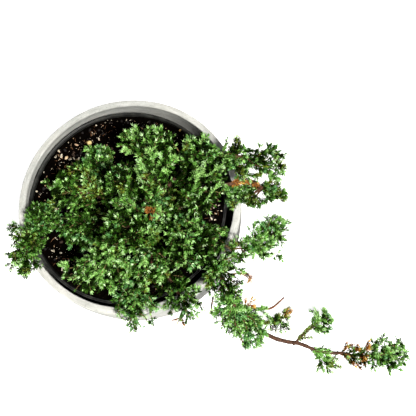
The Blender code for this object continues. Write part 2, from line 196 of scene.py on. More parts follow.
def planter_material():
    """Whitewashed cement: streaks that run round the pot, fine pits and faint warm stains, and painted
    shade on the inner wall under the rim.
    """
    shader = Shader("planter_whitewash", 0.8, 0.3)
    x, y, z = shader.node("SeparateXYZ", {0: shader.place})
    reach = shader.node("VectorMath", {0: shader.node("CombineXYZ", {0: x, 1: y})[0]}, operation="LENGTH")
    reach = reach["Value"]
    angle = shader.math("MULTIPLY", shader.math("ARCTAN2", y, x), STREAK_STRETCH)
    streaks = shader.noise(420, 5, 0.7, shader.node("CombineXYZ", {0: angle, 1: reach, 2: z})[0])
    grey, pale, white = (0.28, 0.285, 0.262), (0.395, 0.40, 0.375), (0.495, 0.50, 0.475)
    wash = shader.ramp(streaks, (0.30, grey), (0.50, pale), (0.68, white))
    clouds = shader.ramp(shader.noise(26, 3, 0.5), (0.42, 0.0), (0.75, 0.45))
    stained = shader.mix(clouds, wash, (0.60, 0.57, 0.51))
    pits = shader.ramp(shader.noise(900, 2, 0.5), (0.30, 0.75), (0.42, 1.0))
    washed = shader.mix(1.0, stained, pits, "MULTIPLY")
    # Painted shade: inside the rim's inner edge and above about 0.7 of the rim's height, the inner wall is
    # darkened towards 0.13 of its colour.
    inner_wall_painted_shade = shader.ramp(shader.math("DIVIDE", reach, RIM_RADIUS), (0.925, 0.13), (0.945, 1.0))
    near_rim = shader.ramp(shader.math("DIVIDE", z, RIM_HEIGHT), (0.70, 0.0), (0.74, 1.0))
    colour = shader.mix(near_rim, washed, inner_wall_painted_shade, "MULTIPLY")
    return shader.finish(colour, shader.mix(0.5, streaks, shader.noise(1500, 3, 0.6)), 0.35, 0.6)


def liner_material():
    """Black blow-moulded plastic, a little dusty."""
    shader = Shader("liner_black_plastic", 0.42, 0.35)
    dust = shader.noise(160, 5, 0.7)
    colour = shader.ramp(dust, (0.40, (0.006, 0.0065, 0.006)), (0.78, (0.035, 0.036, 0.03)))
    roughness = shader.ramp(dust, (0.35, 0.34), (0.75, 0.68))
    return shader.finish(colour, shader.noise(1300, 3), 0.08, 0.5, Roughness=roughness)


def soil_material():
    shader = Shader("soil_damp_peat", 0.95, 0.02)
    wet, damp, dry = (0.0004, 0.0002, 0.0001), (0.0016, 0.0008, 0.0004), (0.035, 0.017, 0.009)
    peat = shader.ramp(shader.noise(520, 6, 0.75), (0.40, wet), (0.60, damp), (0.76, dry))
    return shader.finish(peat, shader.noise(900, 6, 0.8), 0.9, 1.0)


def grain_material(name, dark, light, scale=900.0, roughness=0.8):
    """A small hard grain: mottled between two colours."""
    shader = Shader(name, roughness, 0.35)
    colour = shader.ramp(shader.noise(scale, 4, 0.6), (0.36, dark), (0.66, light))
    return shader.finish(colour, shader.noise(scale * 2, 3), 0.15, 0.7)


def bark_material(name, hollow, face, edge, greyest):
    """Red-brown scaly bark, darkest in its hollows and palest on the scales' edges, with grey flakes."""
    shader = Shader(name, 0.8, 0.25)
    flakes = shader.noise(700, 6, 0.7)
    brown = shader.ramp(flakes, (0.34, hollow), (0.52, face), (0.70, edge))
    grey = shader.ramp(shader.noise(240, 3, 0.5), (0.50, 0.0), (0.72, greyest))
    return shader.finish(shader.mix(grey, brown, (0.09, 0.06, 0.042)), flakes, 0.3, 0.9)


def needle_material(name, colour, roughness=0.42):
    """A plain tint, dealt out by spray, with a fine waxy relief. Dark needles, old ones and those in
    painted shade, are dull.
    """
    shader = Shader(name, roughness, 0.26 if colour[1] > 0.15 else 0.04)
    return shader.finish(colour, shader.noise(2600, 2), 0.05, 0.4)


def twig_material(name, dark, light):
    shader = Shader(name, 0.75, 0.25)
    colour = shader.ramp(shader.noise(900, 4, 0.6), (0.35, dark), (0.65, light))
    return shader.finish(colour, shader.noise(1400, 3), 0.12, 0.7)


# ---- Mesh making


class Soup:
    """Points and faces gathered from many small shapes, made into one joined mesh."""

    def __init__(self):
        self.points, self.faces, self.count = [], [], 0

    def add(self, points, faces):
        self.points.append(np.asarray(points, float))
        self.faces.append(np.asarray(faces, int) + self.count)
        self.count += len(points)

    def piece(self, name, material, slot):
        return mesh_piece(name, np.concatenate(self.points), np.concatenate(self.faces), material)


def mesh_piece(name, points, faces, material, smooth=True):
    """An object from arrays of points and triangles, that rides on the plant's one body."""
    mesh = bpy.data.meshes.new(name)
    mesh.vertices.add(len(points))
    mesh.vertices.foreach_set("co", points.astype(np.float32).ravel())
    mesh.loops.add(faces.size)
    mesh.loops.foreach_set("vertex_index", faces.astype(np.int32).ravel())
    mesh.polygons.add(len(faces))
    mesh.polygons.foreach_set("loop_start", np.arange(0, faces.size, 3, dtype=np.int32))
    mesh.polygons.foreach_set("use_smooth", np.full(len(faces), smooth))
    mesh.update(calc_edges=True)
    mesh.validate()
    mesh.materials.append(material)
    piece = placed(name, mesh)
    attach(piece, "root")
    return piece


def tube_wall(rows, sides):
    """Triangles between rings of points that follow each other."""
    faces = []
    for a in range(0, (rows - 1) * sides, sides):
        b = a + sides
        for i in range(sides):
            j = (i + 1) % sides
            faces += [(a + i, a + j, b + j), (a + i, b + j, b + i)]
    return faces


def closed_tube(rows, sides):
    """A wall whose ends close on two more points, listed after the rings."""
    low, high, last = rows * sides, rows * sides + 1, (rows - 1) * sides
    faces = tube_wall(rows, sides)
    for i in range(sides):
        j = (i + 1) % sides
        faces += [(low, j, i), (high, last + i, last + j)]
    return faces


POT_STEPS = 192
PLANTER_ROWS = 34


def turned(name, profile, material, shift=(0, 0), waver=None):
    """A closed solid turned round +Z from (radius, height) points that begin and end on the axis."""
    points = []
    for radius, height in profile[1:-1]:
        for step in range(POT_STEPS):
            angle = FULL_TURN * step / POT_STEPS
            extra = waver(angle, height) if waver else 0
            points.append((*on_circle(radius + extra, angle), height))
    points += [(0, 0, profile[0][1]), (0, 0, profile[-1][1])]
    faces = np.array(closed_tube(len(profile) - 2, POT_STEPS))
    return mesh_piece(name, np.array(points) + np.array([*shift, 0]), faces, material)


def rounded(corners, radius_of, steps=4):
    """A (radius, height) profile with its corners rounded by short arcs."""
    out = [corners[0]]
    for before, corner, after, radius in zip(corners, corners[1:], corners[2:], radius_of):
        if radius == 0:
            out.append(corner)
            continue
        spot, back, on = Vector(corner), Vector(before), Vector(after)
        start = spot + (back - spot).normalized() * min(radius, (back - spot).length * 0.49)
        end = spot + (on - spot).normalized() * min(radius, (on - spot).length * 0.49)
        for k in range(steps + 1):
            t = k / steps
            out.append(tuple(start * (1 - t) ** 2 + spot * 2 * t * (1 - t) + end * t**2))
    out.append(corners[-1])
    return out


BUTT_LENGTH = 0.5  # how far a tube's ends stand out, in its radii there
POINT_LENGTH = 0.8


def tube(soup, path, radii, sides, relief=None):
    """Adds a closed tube round a path, with pointed ends. relief(point, turn) scales the radius."""
    points = []
    side = (path[1] - path[0]).normalized().cross(Vector((0.31, 0.22, 0.92))).normalized()
    for k, point in enumerate(path):
        ahead = (path[min(k + 1, len(path) - 1)] - path[max(k - 1, 0)]).normalized()
        side = (side - ahead * side.dot(ahead)).normalized()
        other = ahead.cross(side)
        for i in range(sides):
            turn = FULL_TURN * i / sides
            radius = radii[k] * (relief(point, turn) if relief else 1)
            points.append(point + (side * math.cos(turn) + other * math.sin(turn)) * radius)
    points.append(path[0] + beyond(path[::-1]) * radii[0] * BUTT_LENGTH)
    points.append(path[-1] + beyond(path) * radii[-1] * POINT_LENGTH)
    soup.add([tuple(p) for p in points], closed_tube(len(path), sides))


def tapered(thick, thin, count):
    return [thick + (thin - thick) * k / (count - 1) for k in range(count)]


def ball():
    """Points and triangles of an icosphere of 80 faces."""
    golden = (1 + math.sqrt(5)) / 2
    corners = []
    for a in (-1, 1):
        for b in (-golden, golden):
            corners += [(0, a, b), (a, b, 0), (b, 0, a)]
    corners = [Vector(c).normalized() for c in corners]
    edge = min((a - b).length for a, b in combinations(corners, 2)) * 1.1
    middles = {}

    def middle(i, j):
        key = (min(i, j), max(i, j))
        if key not in middles:
            middles[key] = len(corners)
            corners.append((corners[i] + corners[j]).normalized())
        return middles[key]

    fine = []
    for i, j, k in combinations(range(12), 3):
        a, b, c = corners[i], corners[j], corners[k]
        if max((a - b).length, (b - c).length, (a - c).length) < edge:
            if (b - a).cross(c - a).dot(a) <= 0:
                j, k = k, j
            a, b, c = middle(i, j), middle(j, k), middle(k, i)
            fine += [(i, a, c), (a, j, b), (c, b, k), (a, b, c)]
    return np.array([tuple(c) for c in corners]), np.array(fine)


BALL_POINTS, BALL_FACES = ball()


def grain(soup, place, halves, roll, lumps):
    """Adds one lumpy pebble of the given half sizes, turned by a seeded roll."""
    seed = Vector((roll.random(), roll.random(), roll.random())) * 50
    spin = Matrix.Rotation(roll.uniform(0, ANY_ROLL), 3, "Z")
    turn = spin @ Matrix.Rotation(roll.uniform(-0.7, 0.7), 3, "X")
    swell = np.array([1 + lumps * noise.noise(Vector(p) * 1.3 + seed) * 2 for p in BALL_POINTS])
    points = BALL_POINTS * swell[:, None] * np.array(halves)
    soup.add(points @ np.array(turn).T + np.array(place), BALL_FACES)


# ---- Pot

RIM_RADIUS = 90 * MM
RIM_WIDTH = 5.7 * MM
BELLY_RADIUS = 94 * MM
BELLY_HEIGHT = 75 * MM
PLANTER_FOOT_RADIUS = 68 * MM
PLANTER_FLOOR = 8 * MM
LOWER_WALL_EXTRA = 1.5 * MM
LIP_RADIUS = 81.4 * MM
LIP_WIDTH = 1.4 * MM
LIP_HEIGHT = 7 * MM
LINER_WALL = 0.8 * MM
LINER_FOOT_RADIUS = 60 * MM
LINER_SHIFT = (-2.8 * MM, -0.3 * MM)
LINER_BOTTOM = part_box("liner")[0].z
LIP_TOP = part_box("liner")[1].z


def planter_radius(height):
    """Outer radius of the planter: two curves that meet at the belly."""
    if height > BELLY_HEIGHT:
        share = (height - BELLY_HEIGHT) / (RIM_HEIGHT - BELLY_HEIGHT)
        return BELLY_RADIUS - (BELLY_RADIUS - RIM_RADIUS) * share**2
    share = (BELLY_HEIGHT - height) / BELLY_HEIGHT
    return BELLY_RADIUS - (BELLY_RADIUS - PLANTER_FOOT_RADIUS) * share**2.4


def planter_inside(height):
    return planter_radius(height) - RIM_WIDTH - LOWER_WALL_EXTRA * (1 - height / RIM_HEIGHT)


def hand_cast(angle, height):
    """Unevenness of the planter's wall, a fraction of a millimetre."""
    around = Vector((*on_circle(1, angle), height * 12))
    return -0.35 * MM * (0.5 + noise.noise(around * 2.3)) - 0.12 * MM * noise.noise(around * 14)


def make_planter():
    lip, foot = 1.5 * MM, 3 * MM
    heights = np.linspace(foot, RIM_HEIGHT - lip * 1.2, PLANTER_ROWS)
    outside = [(planter_radius(z), z) for z in heights]
    inside = [(planter_inside(z), z) for z in reversed(heights) if z > PLANTER_FLOOR * 2]
    corners = [outside[-1], (RIM_RADIUS, RIM_HEIGHT), (RIM_RADIUS - RIM_WIDTH, RIM_HEIGHT), inside[0]]
    rim = rounded(corners, [lip, lip], 5)[1:-1]
    sole = planter_radius(foot)
    base = [(0, 0), (sole - foot * 1.4, 0), (sole - foot * 0.4, foot * 0.3)]
    floor = [(planter_inside(PLANTER_FLOOR) - foot, PLANTER_FLOOR), (0, PLANTER_FLOOR)]
    profile = base + outside + rim + inside + floor
    planter = turned("planter_wall", profile, planter_material(), waver=hand_cast)
    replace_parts(planter, "planter")


def liner_radius(height):
    return LINER_FOOT_RADIUS + (LIP_RADIUS - LIP_WIDTH - LINER_FOOT_RADIUS) * height / LIP_TOP


def make_liner():
    """The black pot, with a rolled lip that turns down outside and a faint groove along its top."""
    under = LIP_TOP - LIP_HEIGHT
    floor_top = LINER_BOTTOM + LINER_WALL * 2
    inner = LIP_RADIUS - LIP_WIDTH - LINER_WALL
    # Each row: radius and height of a corner, and how far it is rounded.
    rows = (
        (0, LINER_BOTTOM, 0),
        (liner_radius(LINER_BOTTOM), LINER_BOTTOM, 2),
        (liner_radius(under), under, 0),
        (LIP_RADIUS, under, 0.4),
        (LIP_RADIUS, LIP_TOP, 0.5),
        (LIP_RADIUS - 1.1 * MM, LIP_TOP - 0.15 * MM, 0.3),
        (LIP_RADIUS - 1.3 * MM, LIP_TOP - 0.6 * MM, 0.2),
        (inner, LIP_TOP - 0.5 * MM, 0.4),
        (inner, LIP_TOP - 3 * MM, 0.5),
        (liner_radius(under) - LINER_WALL, under, 0.6),
        (liner_radius(LINER_BOTTOM) - LINER_WALL, floor_top, 1.5),
        (0, floor_top, 0),
    )
    profile = rounded([row[:2] for row in rows], [row[2] * MM for row in rows[1:-1]])
    liner = turned("nursery_liner", profile, liner_material(), LINER_SHIFT)
    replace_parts(liner, "liner")


# ---- Soil


def tree_of(node):
    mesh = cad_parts[node].data
    return BVHTree.FromPolygons([v.co for v in mesh.vertices], [p.vertices for p in mesh.polygons])


SOIL_TREE = tree_of("soil")
SOIL_REACH = liner_radius(LIP_TOP - 3 * MM) - LINER_WALL - 0.25 * MM
SOIL_EDGE = 0.97  # beyond this share of the soil's reach its level stays the same
SOIL_CELL = 0.95 * MM
SOIL_STEPS = 400
SOIL_RISE = rise_of(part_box("soil")[1]) - 2


def soil_level(x, y):
    """Height of the CAD soil under a point, or of its edge beyond that."""
    centre = Vector((*LINER_SHIFT, 0))
    offset = Vector((x, y, 0)) - centre
    if offset.length > SOIL_REACH * SOIL_EDGE:
        offset = offset.normalized() * SOIL_REACH * SOIL_EDGE
    return SOIL_TREE.ray_cast(centre + offset + UP, -UP)[0].z


def crumbled(x, y):
    """A point of the peat's uneven surface."""
    spot = Vector((x, y, 0))
    fine = 0.55 * MM * noise.noise(spot * 420) + 0.55 * MM * noise.noise(spot * 900)
    return (x, y, soil_level(x, y) + (fine + 0.3 * MM * noise.noise(spot * 190)))


def make_soil():
    """A disc of fine cells over the CAD soil, closed below by a skirt."""
    rings = int(SOIL_REACH / SOIL_CELL)
    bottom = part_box("soil")[0].z
    foot = liner_radius(bottom) - LINER_WALL - 0.8 * MM
    angles = [FULL_TURN * i / SOIL_STEPS for i in range(SOIL_STEPS)]
    points = [crumbled(*LINER_SHIFT)]
    for ring in range(1, rings + 1):
        points += [crumbled(*on_circle(SOIL_REACH * ring / rings, a, LINER_SHIFT)) for a in angles]
    points += [(*on_circle(foot, a, LINER_SHIFT), bottom) for a in angles]
    points.append((*LINER_SHIFT, bottom))
    last, middle = 1 + rings * SOIL_STEPS, len(points) - 1
    faces = []
    for i in range(SOIL_STEPS):
        j = (i + 1) % SOIL_STEPS
        faces += [(0, 1 + i, 1 + j), (last + i, middle, last + j)]
    wall = np.array(tube_wall(rings + 1, SOIL_STEPS))[:, ::-1] + 1
    faces = np.concatenate([faces, wall])
    soil = mesh_piece("soil_surface", np.array(points), faces, soil_material())
    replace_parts(soil, "soil")


def on_soil(x, y, lift):
    return (x, y, soil_level(x, y) + lift)


def scatter(roll, spread):
    """A random spot on the soil, or near a given pixel with a spread in mm."""
    if spread is None:
        radius = SOIL_REACH * SOIL_EDGE * math.sqrt(roll.random())
        return on_circle(radius, roll.uniform(0, FULL_TURN), LINER_SHIFT)
    px, py, reach = spread
    middle = at_pixel(px, py, SOIL_RISE)
    return middle.x + roll.gauss(0, reach * MM), middle.y + roll.gauss(0, reach * MM)


def inside_liner(x, y, margin):
    return math.hypot(x - LINER_SHIFT[0], y - LINER_SHIFT[1]) < SOIL_REACH - margin


# Where pale grit lies thickest: pixel, spread in mm and number of grains.
GRIT_PATCHES = marks_of(
    """
    80,135,7,16 78,156,7,26 66,160,5,12 106,138,8,12 150,128,12,10 45,195,6,12 62,250,7,7 66,272,7,7
    218,212,6,20 60,262,9,9 52,150,12,24
    """
)
CLODS = 480
LOOSE_GRIT = 720
FIBRES = 230


def make_grit():
    """Clods of peat, pale grit, tan bark chips and fibres on the soil."""
    roll = random.Random(7)
    fibres, clods, dark_clods, pale, tan = Soup(), Soup(), Soup(), Soup(), Soup()
    for k in range(CLODS):
        x, y = scatter(roll, None)
        size = roll.uniform(0.5, 1.5) * MM
        halves = (size, size * roll.uniform(0.6, 1), size * roll.uniform(0.5, 0.8))
        if inside_liner(x, y, size):
            grain(clods if k % 4 == 0 else dark_clods, on_soil(x, y, size * 0.2), halves, roll, 0.4)
    patches = [(row[:3], int(row[3])) for row in GRIT_PATCHES]
    for spread, count in [*patches, (None, LOOSE_GRIT)]:
        for _ in range(count):
            x, y = scatter(roll, spread)
            size = (0.15 + 0.42 * roll.random() ** 2.2) * MM * (1.7 if spread else 1)
            halves = (size * roll.uniform(1, 1.7), size * roll.uniform(0.55, 1), size * 0.7)
            if inside_liner(x, y, size):
                grain(pale if roll.random() < 0.6 else tan, on_soil(x, y, size * 0.75), halves, roll, 0.5)
    for _ in range(FIBRES):
        x, y = scatter(roll, None)
        turn, length = roll.uniform(0, FULL_TURN), roll.uniform(0.7, 2.4) * MM
        reach = Vector((*on_circle(1, turn), roll.uniform(-0.1, 0.25))) * length
        if inside_liner(x, y, length * 1.2):
            middle = Vector(on_soil(x, y, 0.4 * MM))
            path = [middle - reach, middle + UP * 0.15 * MM, middle + reach]
            tube(fibres, path, [0.12 * MM, 0.18 * MM, 0.1 * MM], 4)
    for name, soup, dark, light in (
        ("soil_fibres", fibres, (0.05, 0.018, 0.006), (0.24, 0.11, 0.045)),
        ("soil_clods_brown", clods, (0.008, 0.004, 0.002), (0.055, 0.028, 0.015)),
        ("soil_clods_dark", dark_clods, (0.001, 0.0006, 0.0004), (0.007, 0.0035, 0.002)),
        ("pale_grit", pale, (0.40, 0.33, 0.22), (0.80, 0.74, 0.60)),
        ("tan_bark_chips", tan, (0.22, 0.12, 0.06), (0.50, 0.34, 0.20)),
    ):
        soup.piece(name, grain_material(name + "_finish", dark, light), "potting_soil")


# Larger things on the soil: name, pixel, half sizes in mm, dark and light colours.
STONES = (
    ("yellow_pebble", (90, 144), (2.3, 2.1, 1.6), (0.52, 0.36, 0.11), (0.74, 0.58, 0.26)),
    ("small_yellow_pebble", (180, 131), (1.3, 0.8, 0.7), (0.42, 0.27, 0.08), (0.62, 0.45, 0.18)),
    ("beige_pebble", (56.5, 209), (1.7, 1.3, 1.2), (0.52, 0.38, 0.22), (0.76, 0.66, 0.48)),
    ("blue_feed_granule", (54, 203.5), (0.9, 1.7, 0.8), (0.02, 0.13, 0.17), (0.06, 0.26, 0.30)),
    ("rusty_bark_chip", (67, 167), (1.9, 1.4, 0.8), (0.12, 0.045, 0.012), (0.30, 0.13, 0.04)),
    ("long_tan_chip", (77, 145.5), (2.0, 0.9, 0.7), (0.42, 0.26, 0.15), (0.72, 0.52, 0.36)),
    ("tan_chip", (67, 158.5), (1.8, 1.3, 0.8), (0.46, 0.30, 0.16), (0.74, 0.58, 0.38)),
)


def make_stones():
    roll = random.Random(11)
    for name, (px, py), halves, dark, light in STONES:
        soup = Soup()
        spot = at_pixel(px, py, SOIL_RISE)
        halves = tuple(size * MM for size in halves)
        grain(soup, on_soil(spot.x, spot.y, halves[2] * 0.7), halves, roll, 0.12)
        soup.piece(name, grain_material(name + "_finish", dark, light, 500.0, 0.6), "potting_soil")


# ---- Limbs from the frame


def middle_of(box):
    return (box[0] + box[1]) / 2


TRUNK_LOW, TRUNK_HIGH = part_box("trunk")
CROWN_ROOT = Vector((*middle_of((TRUNK_LOW, TRUNK_HIGH))[:2], TRUNK_HIGH.z))
LIMB_SLICES = 9
LIMB_INSET = 0.08  # share of a bough left out at each end before it is sliced
INSET_REGAINED = 0.9


def mesh_arrays(node):
    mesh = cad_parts[node].data
    return np.array([v.co for v in mesh.vertices]), np.array([e.vertices for e in mesh.edges])


def cut_across(points, edges, along, level):
    """Where edges cross one level of a measure that each point has."""
    first, second = along[edges[:, 0]] - level, along[edges[:, 1]] - level
    cut = first * second < 0
    share = (first[cut] / (first[cut] - second[cut]))[:, None]
    return points[edges[cut, 0]] * (1 - share) + points[edges[cut, 1]] * share


class Limb:
    """A CAD bough's centreline, from its end nearer the trunk, and its radius at each point."""

    def __init__(self, node):
        points, edges = mesh_arrays(node)
        middle = points.mean(0)
        along = (points - middle) @ np.linalg.svd(points - middle)[2][0]
        low, high = along.min(), along.max()
        inset = (high - low) * LIMB_INSET
        line = []
        for level in np.linspace(low + inset, high - inset, LIMB_SLICES):
            crossing = cut_across(points, edges, along, level)
            centre = crossing.mean(0)
            spread = np.linalg.svd(crossing - centre)[1]
            line.append((Vector(centre), float(spread[1]) * math.sqrt(2 / len(crossing))))
        if (line[0][0] - CROWN_ROOT).length > (line[-1][0] - CROWN_ROOT).length:
            line.reverse()
        points = [p for p, _ in line]
        first = points[0] + beyond(points[::-1]) * inset * INSET_REGAINED
        last = points[-1] + beyond(points) * inset * INSET_REGAINED
        self.points = [first, *points, last]
        self.radii = tapered(line[1][1], line[-2][1], LIMB_SLICES + 2)

    def run_on(self, back, ahead, step):
        """A smooth line through the limb, run on at both ends. Lengths in mm."""
        root = self.points[0] + beyond(self.points[::-1]) * back * MM
        tip = self.points[-1] + beyond(self.points) * ahead * MM
        return smooth_path([root, *self.points, tip], step * MM)

    def draw(self, marks):
        """Moves the limb's points sideways onto a line of pixels. They keep their own heights."""
        for k, point in enumerate(self.points):
            place = k * (len(marks) - 1) / (len(self.points) - 1)
            low = min(int(place), len(marks) - 2)
            (ax, ay), (bx, by) = marks[low], marks[low + 1]
            share = place - low
            self.points[k] = at_pixel(ax + (bx - ax) * share, ay + (by - ay) * share, rise_of(point))


def beyond(points):
    """The way that a line of points heads at its end."""
    return (points[-1] - points[-2]).normalized()


def smooth_path(points, step):
    """Points spread evenly on a smooth curve through the given ones."""
    fine = []
    for k in range(len(points) - 1):
        before, start = points[max(k - 1, 0)], points[k]
        end, after = points[k + 1], points[min(k + 2, len(points) - 1)]
        first = start + (end - before) / 6
        second = end - (after - start) / 6
        pieces = max(2, int((end - start).length / step))
        fine += interpolate_bezier(start, first, second, end, pieces + 1)[:-1]
    return fine + [points[-1]]


LIMBS = {name: Limb(name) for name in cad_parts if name.startswith("bough_")}
TWIG = Limb("dead_twig")
MASSES = [name for name in sorted(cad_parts) if name.startswith("foliage_")]
# Limbs drawn onto lines of pixels, from root to tip.
LIMB_LINES = marks_by_name(
    """
    trailing 257,327 264,333 272,337 280,340 289,342 297,343 306,346 315,350 325,352 335,353 342,353
    trail_upright 296,342 301,336.5 306,331.5 312,326
    trail_under 315,350.5 318,354 322,357
    """
)
for name, marks in LIMB_LINES.items():
    LIMBS["bough_" + name].draw(marks)


def bark_relief(point, turn):
    """Lengthwise ridges and scaly lumps of old bark."""
    spot = point * 260 + Vector((*on_circle(1, turn), 0)) * 1.3
    return 1 + 0.16 * noise.noise(spot) + 0.10 * noise.noise(spot * 3.1)


LIMB_POINT = (0.2, 0.5, 0.8)  # a limb's last points are this much of its thickness, last first
TRAIL_SWELL = 1.22  # the trail's flaking bark stands out from its bough
TRUNK_ROWS = 26
TRUNK_SIDES = 36
BOUGH_SIDES = 14


def make_bark():
    """The trunk and boughs with their relief, each run on into what it grows from and into."""
    soup = Soup()
    points, edges = mesh_arrays("trunk")
    tree = tree_of("trunk")
    rows = []
    for height in np.linspace(TRUNK_LOW.z + 0.3 * MM, TRUNK_HIGH.z - 1.2 * MM, TRUNK_ROWS):
        crossing = cut_across(points, edges, points[:, 2], height)
        centre = Vector((crossing.min(0) + crossing.max(0)) / 2)
        centre.z = height
        for i in range(TRUNK_SIDES):
            turn = FULL_TURN * i / TRUNK_SIDES
            outward = Vector((*on_circle(1, turn), 0))
            hit = tree.ray_cast(centre, outward)[0]
            rows.append(tuple(centre + outward * ((hit - centre).length * bark_relief(centre, turn * 2))))
    foot = tuple(Vector(np.mean(rows[:TRUNK_SIDES], 0)))
    top = tuple(Vector(np.mean(rows[-TRUNK_SIDES:], 0)) + UP * MM)
    soup.add([*rows, foot, top], closed_tube(TRUNK_ROWS, TRUNK_SIDES))
    for name, limb in LIMBS.items():
        path = limb.run_on(3, 2.5, 1.0)
        swell = TRAIL_SWELL if name.startswith("bough_trail") else 1.0
        radii = tapered(limb.radii[0] * swell, limb.radii[-1] * swell, len(path))
        for k, share in enumerate(LIMB_POINT):
            radii[-1 - k] *= share
        tube(soup, path, radii, BOUGH_SIDES, bark_relief)
    hollow, face, edge = (0.014, 0.006, 0.0035), (0.06, 0.025, 0.0125), (0.15, 0.07, 0.038)
    bark = soup.piece("bark_relief", bark_material("juniper_bark", hollow, face, edge, 0.45), "bark")
    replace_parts(bark, "trunk", *LIMBS)


SNAGS = ((0.3, 2.2), (0.46, 1.6), (0.62, 2.0), (0.8, 1.4))  # share of the way, length in mm


def make_dead_twig():
    soup = Soup()
    path = TWIG.run_on(4, 1, 0.8)
    tube(soup, path, tapered(TWIG.radii[0] * 1.35, TWIG.radii[-1] * 1.2, len(path)), 8, bark_relief)
    for share, length in SNAGS:
        spot = path[int(share * (len(path) - 1))]
        side = Vector((dice.uniform(-0.3, 1), dice.uniform(-1, 1), 0.4)).normalized()
        snag = [spot, spot + side * length * 0.6 * MM, spot + side * length * MM]
        tube(soup, snag, [0.35 * MM, 0.28 * MM, 0.15 * MM], 5)
    hollow, face, edge = (0.03, 0.01, 0.004), (0.14, 0.048, 0.018), (0.34, 0.15, 0.06)
    finish = bark_material("dead_twig_bark_finish", hollow, face, edge, 0.2)
    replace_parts(soup.piece("dead_twig_bark", finish, "bark"), "dead_twig")


# ---- Foliage

# Needle tints: linear base colours, dealt out by spray and by how near a finger's tip they are. The dark
# and shade tints are partly painted shade.
TINTS = {
    "pale": (0.55, 0.80, 0.40),
    "lime": (0.34, 0.62, 0.17),
    "fresh": (0.16, 0.39, 0.065),
    "mid": (0.062, 0.18, 0.018),
    "blue": (0.12, 0.34, 0.09),
    "olive": (0.145, 0.20, 0.02),
    "dark": (0.014, 0.04, 0.003),
    "shade": (0.004, 0.010, 0.0008),
    "rust": (0.28, 0.105, 0.022),
    "straw": (0.72, 0.40, 0.085),
}
# What a kind of spray wears: tint of its fingertips, of their middles and of its older needles, which lie
# deepest in the spray and are darker partly for their age and partly as painted shade.
SPRAY_KINDS = {
    "lime": ("pale lime lime", "lime fresh", "fresh mid"),
    "fresh": ("pale lime lime fresh", "fresh fresh mid", "mid dark shade"),
    "mid": ("pale lime fresh mid", "fresh mid dark", "shade"),
    "blue": ("pale blue blue", "blue blue mid", "shade"),
    "olive": ("lime lime olive olive", "olive olive dark", "shade"),
    "dark": ("lime mid mid dark", "mid dark", "shade"),
    "shade": ("dark", "shade", "shade"),
    "young": ("pale lime", "lime", "lime fresh"),
    "dry": ("straw", "straw rust", "rust"),
    "rusty": ("straw rust rust", "rust rust shade", "rust shade"),
}
# The mix of kinds in each mass.
MASS_KINDS = {
    "top_sprig": "young lime lime",
    "top": "lime young lime fresh lime young",
    "upper_right": "fresh lime mid blue",
    "right": "fresh mid olive mid fresh",
    "right_outer_upper": "fresh mid olive fresh blue",
    "right_outer_lower": "fresh olive blue dark mid",
    "upper_left": "fresh mid blue olive",
    "left_upper": "fresh olive dark mid dark olive",
    "middle_upper": "fresh olive mid blue mid",
    "left_inner": "blue mid dark dark",
    "left_low": "blue dark dark mid shade",
    "left_outer": "dark mid dark olive",
    "middle": "fresh lime blue dark mid",
    "lower_left": "lime lime fresh mid dark",
    "lower_inner": "blue lime mid fresh",
    "bottom": "blue fresh blue dark",
    "bottom_right": "blue lime fresh fresh mid",
    "lower_middle": "blue fresh mid fresh dark",
    "lower_right": "fresh blue mid fresh",
    "trail_start": "lime fresh blue fresh",
    "right_sprig": "fresh blue lime fresh",
    "right_small": "olive fresh mid",
    "trail_side": "olive fresh mid",
    "trail_upright": "fresh blue lime",
    "trail_under": "lime fresh fresh olive",
    "trail_inner": "dark rusty olive rusty mid",
    "trail_tip": "lime fresh mid blue fresh",
}
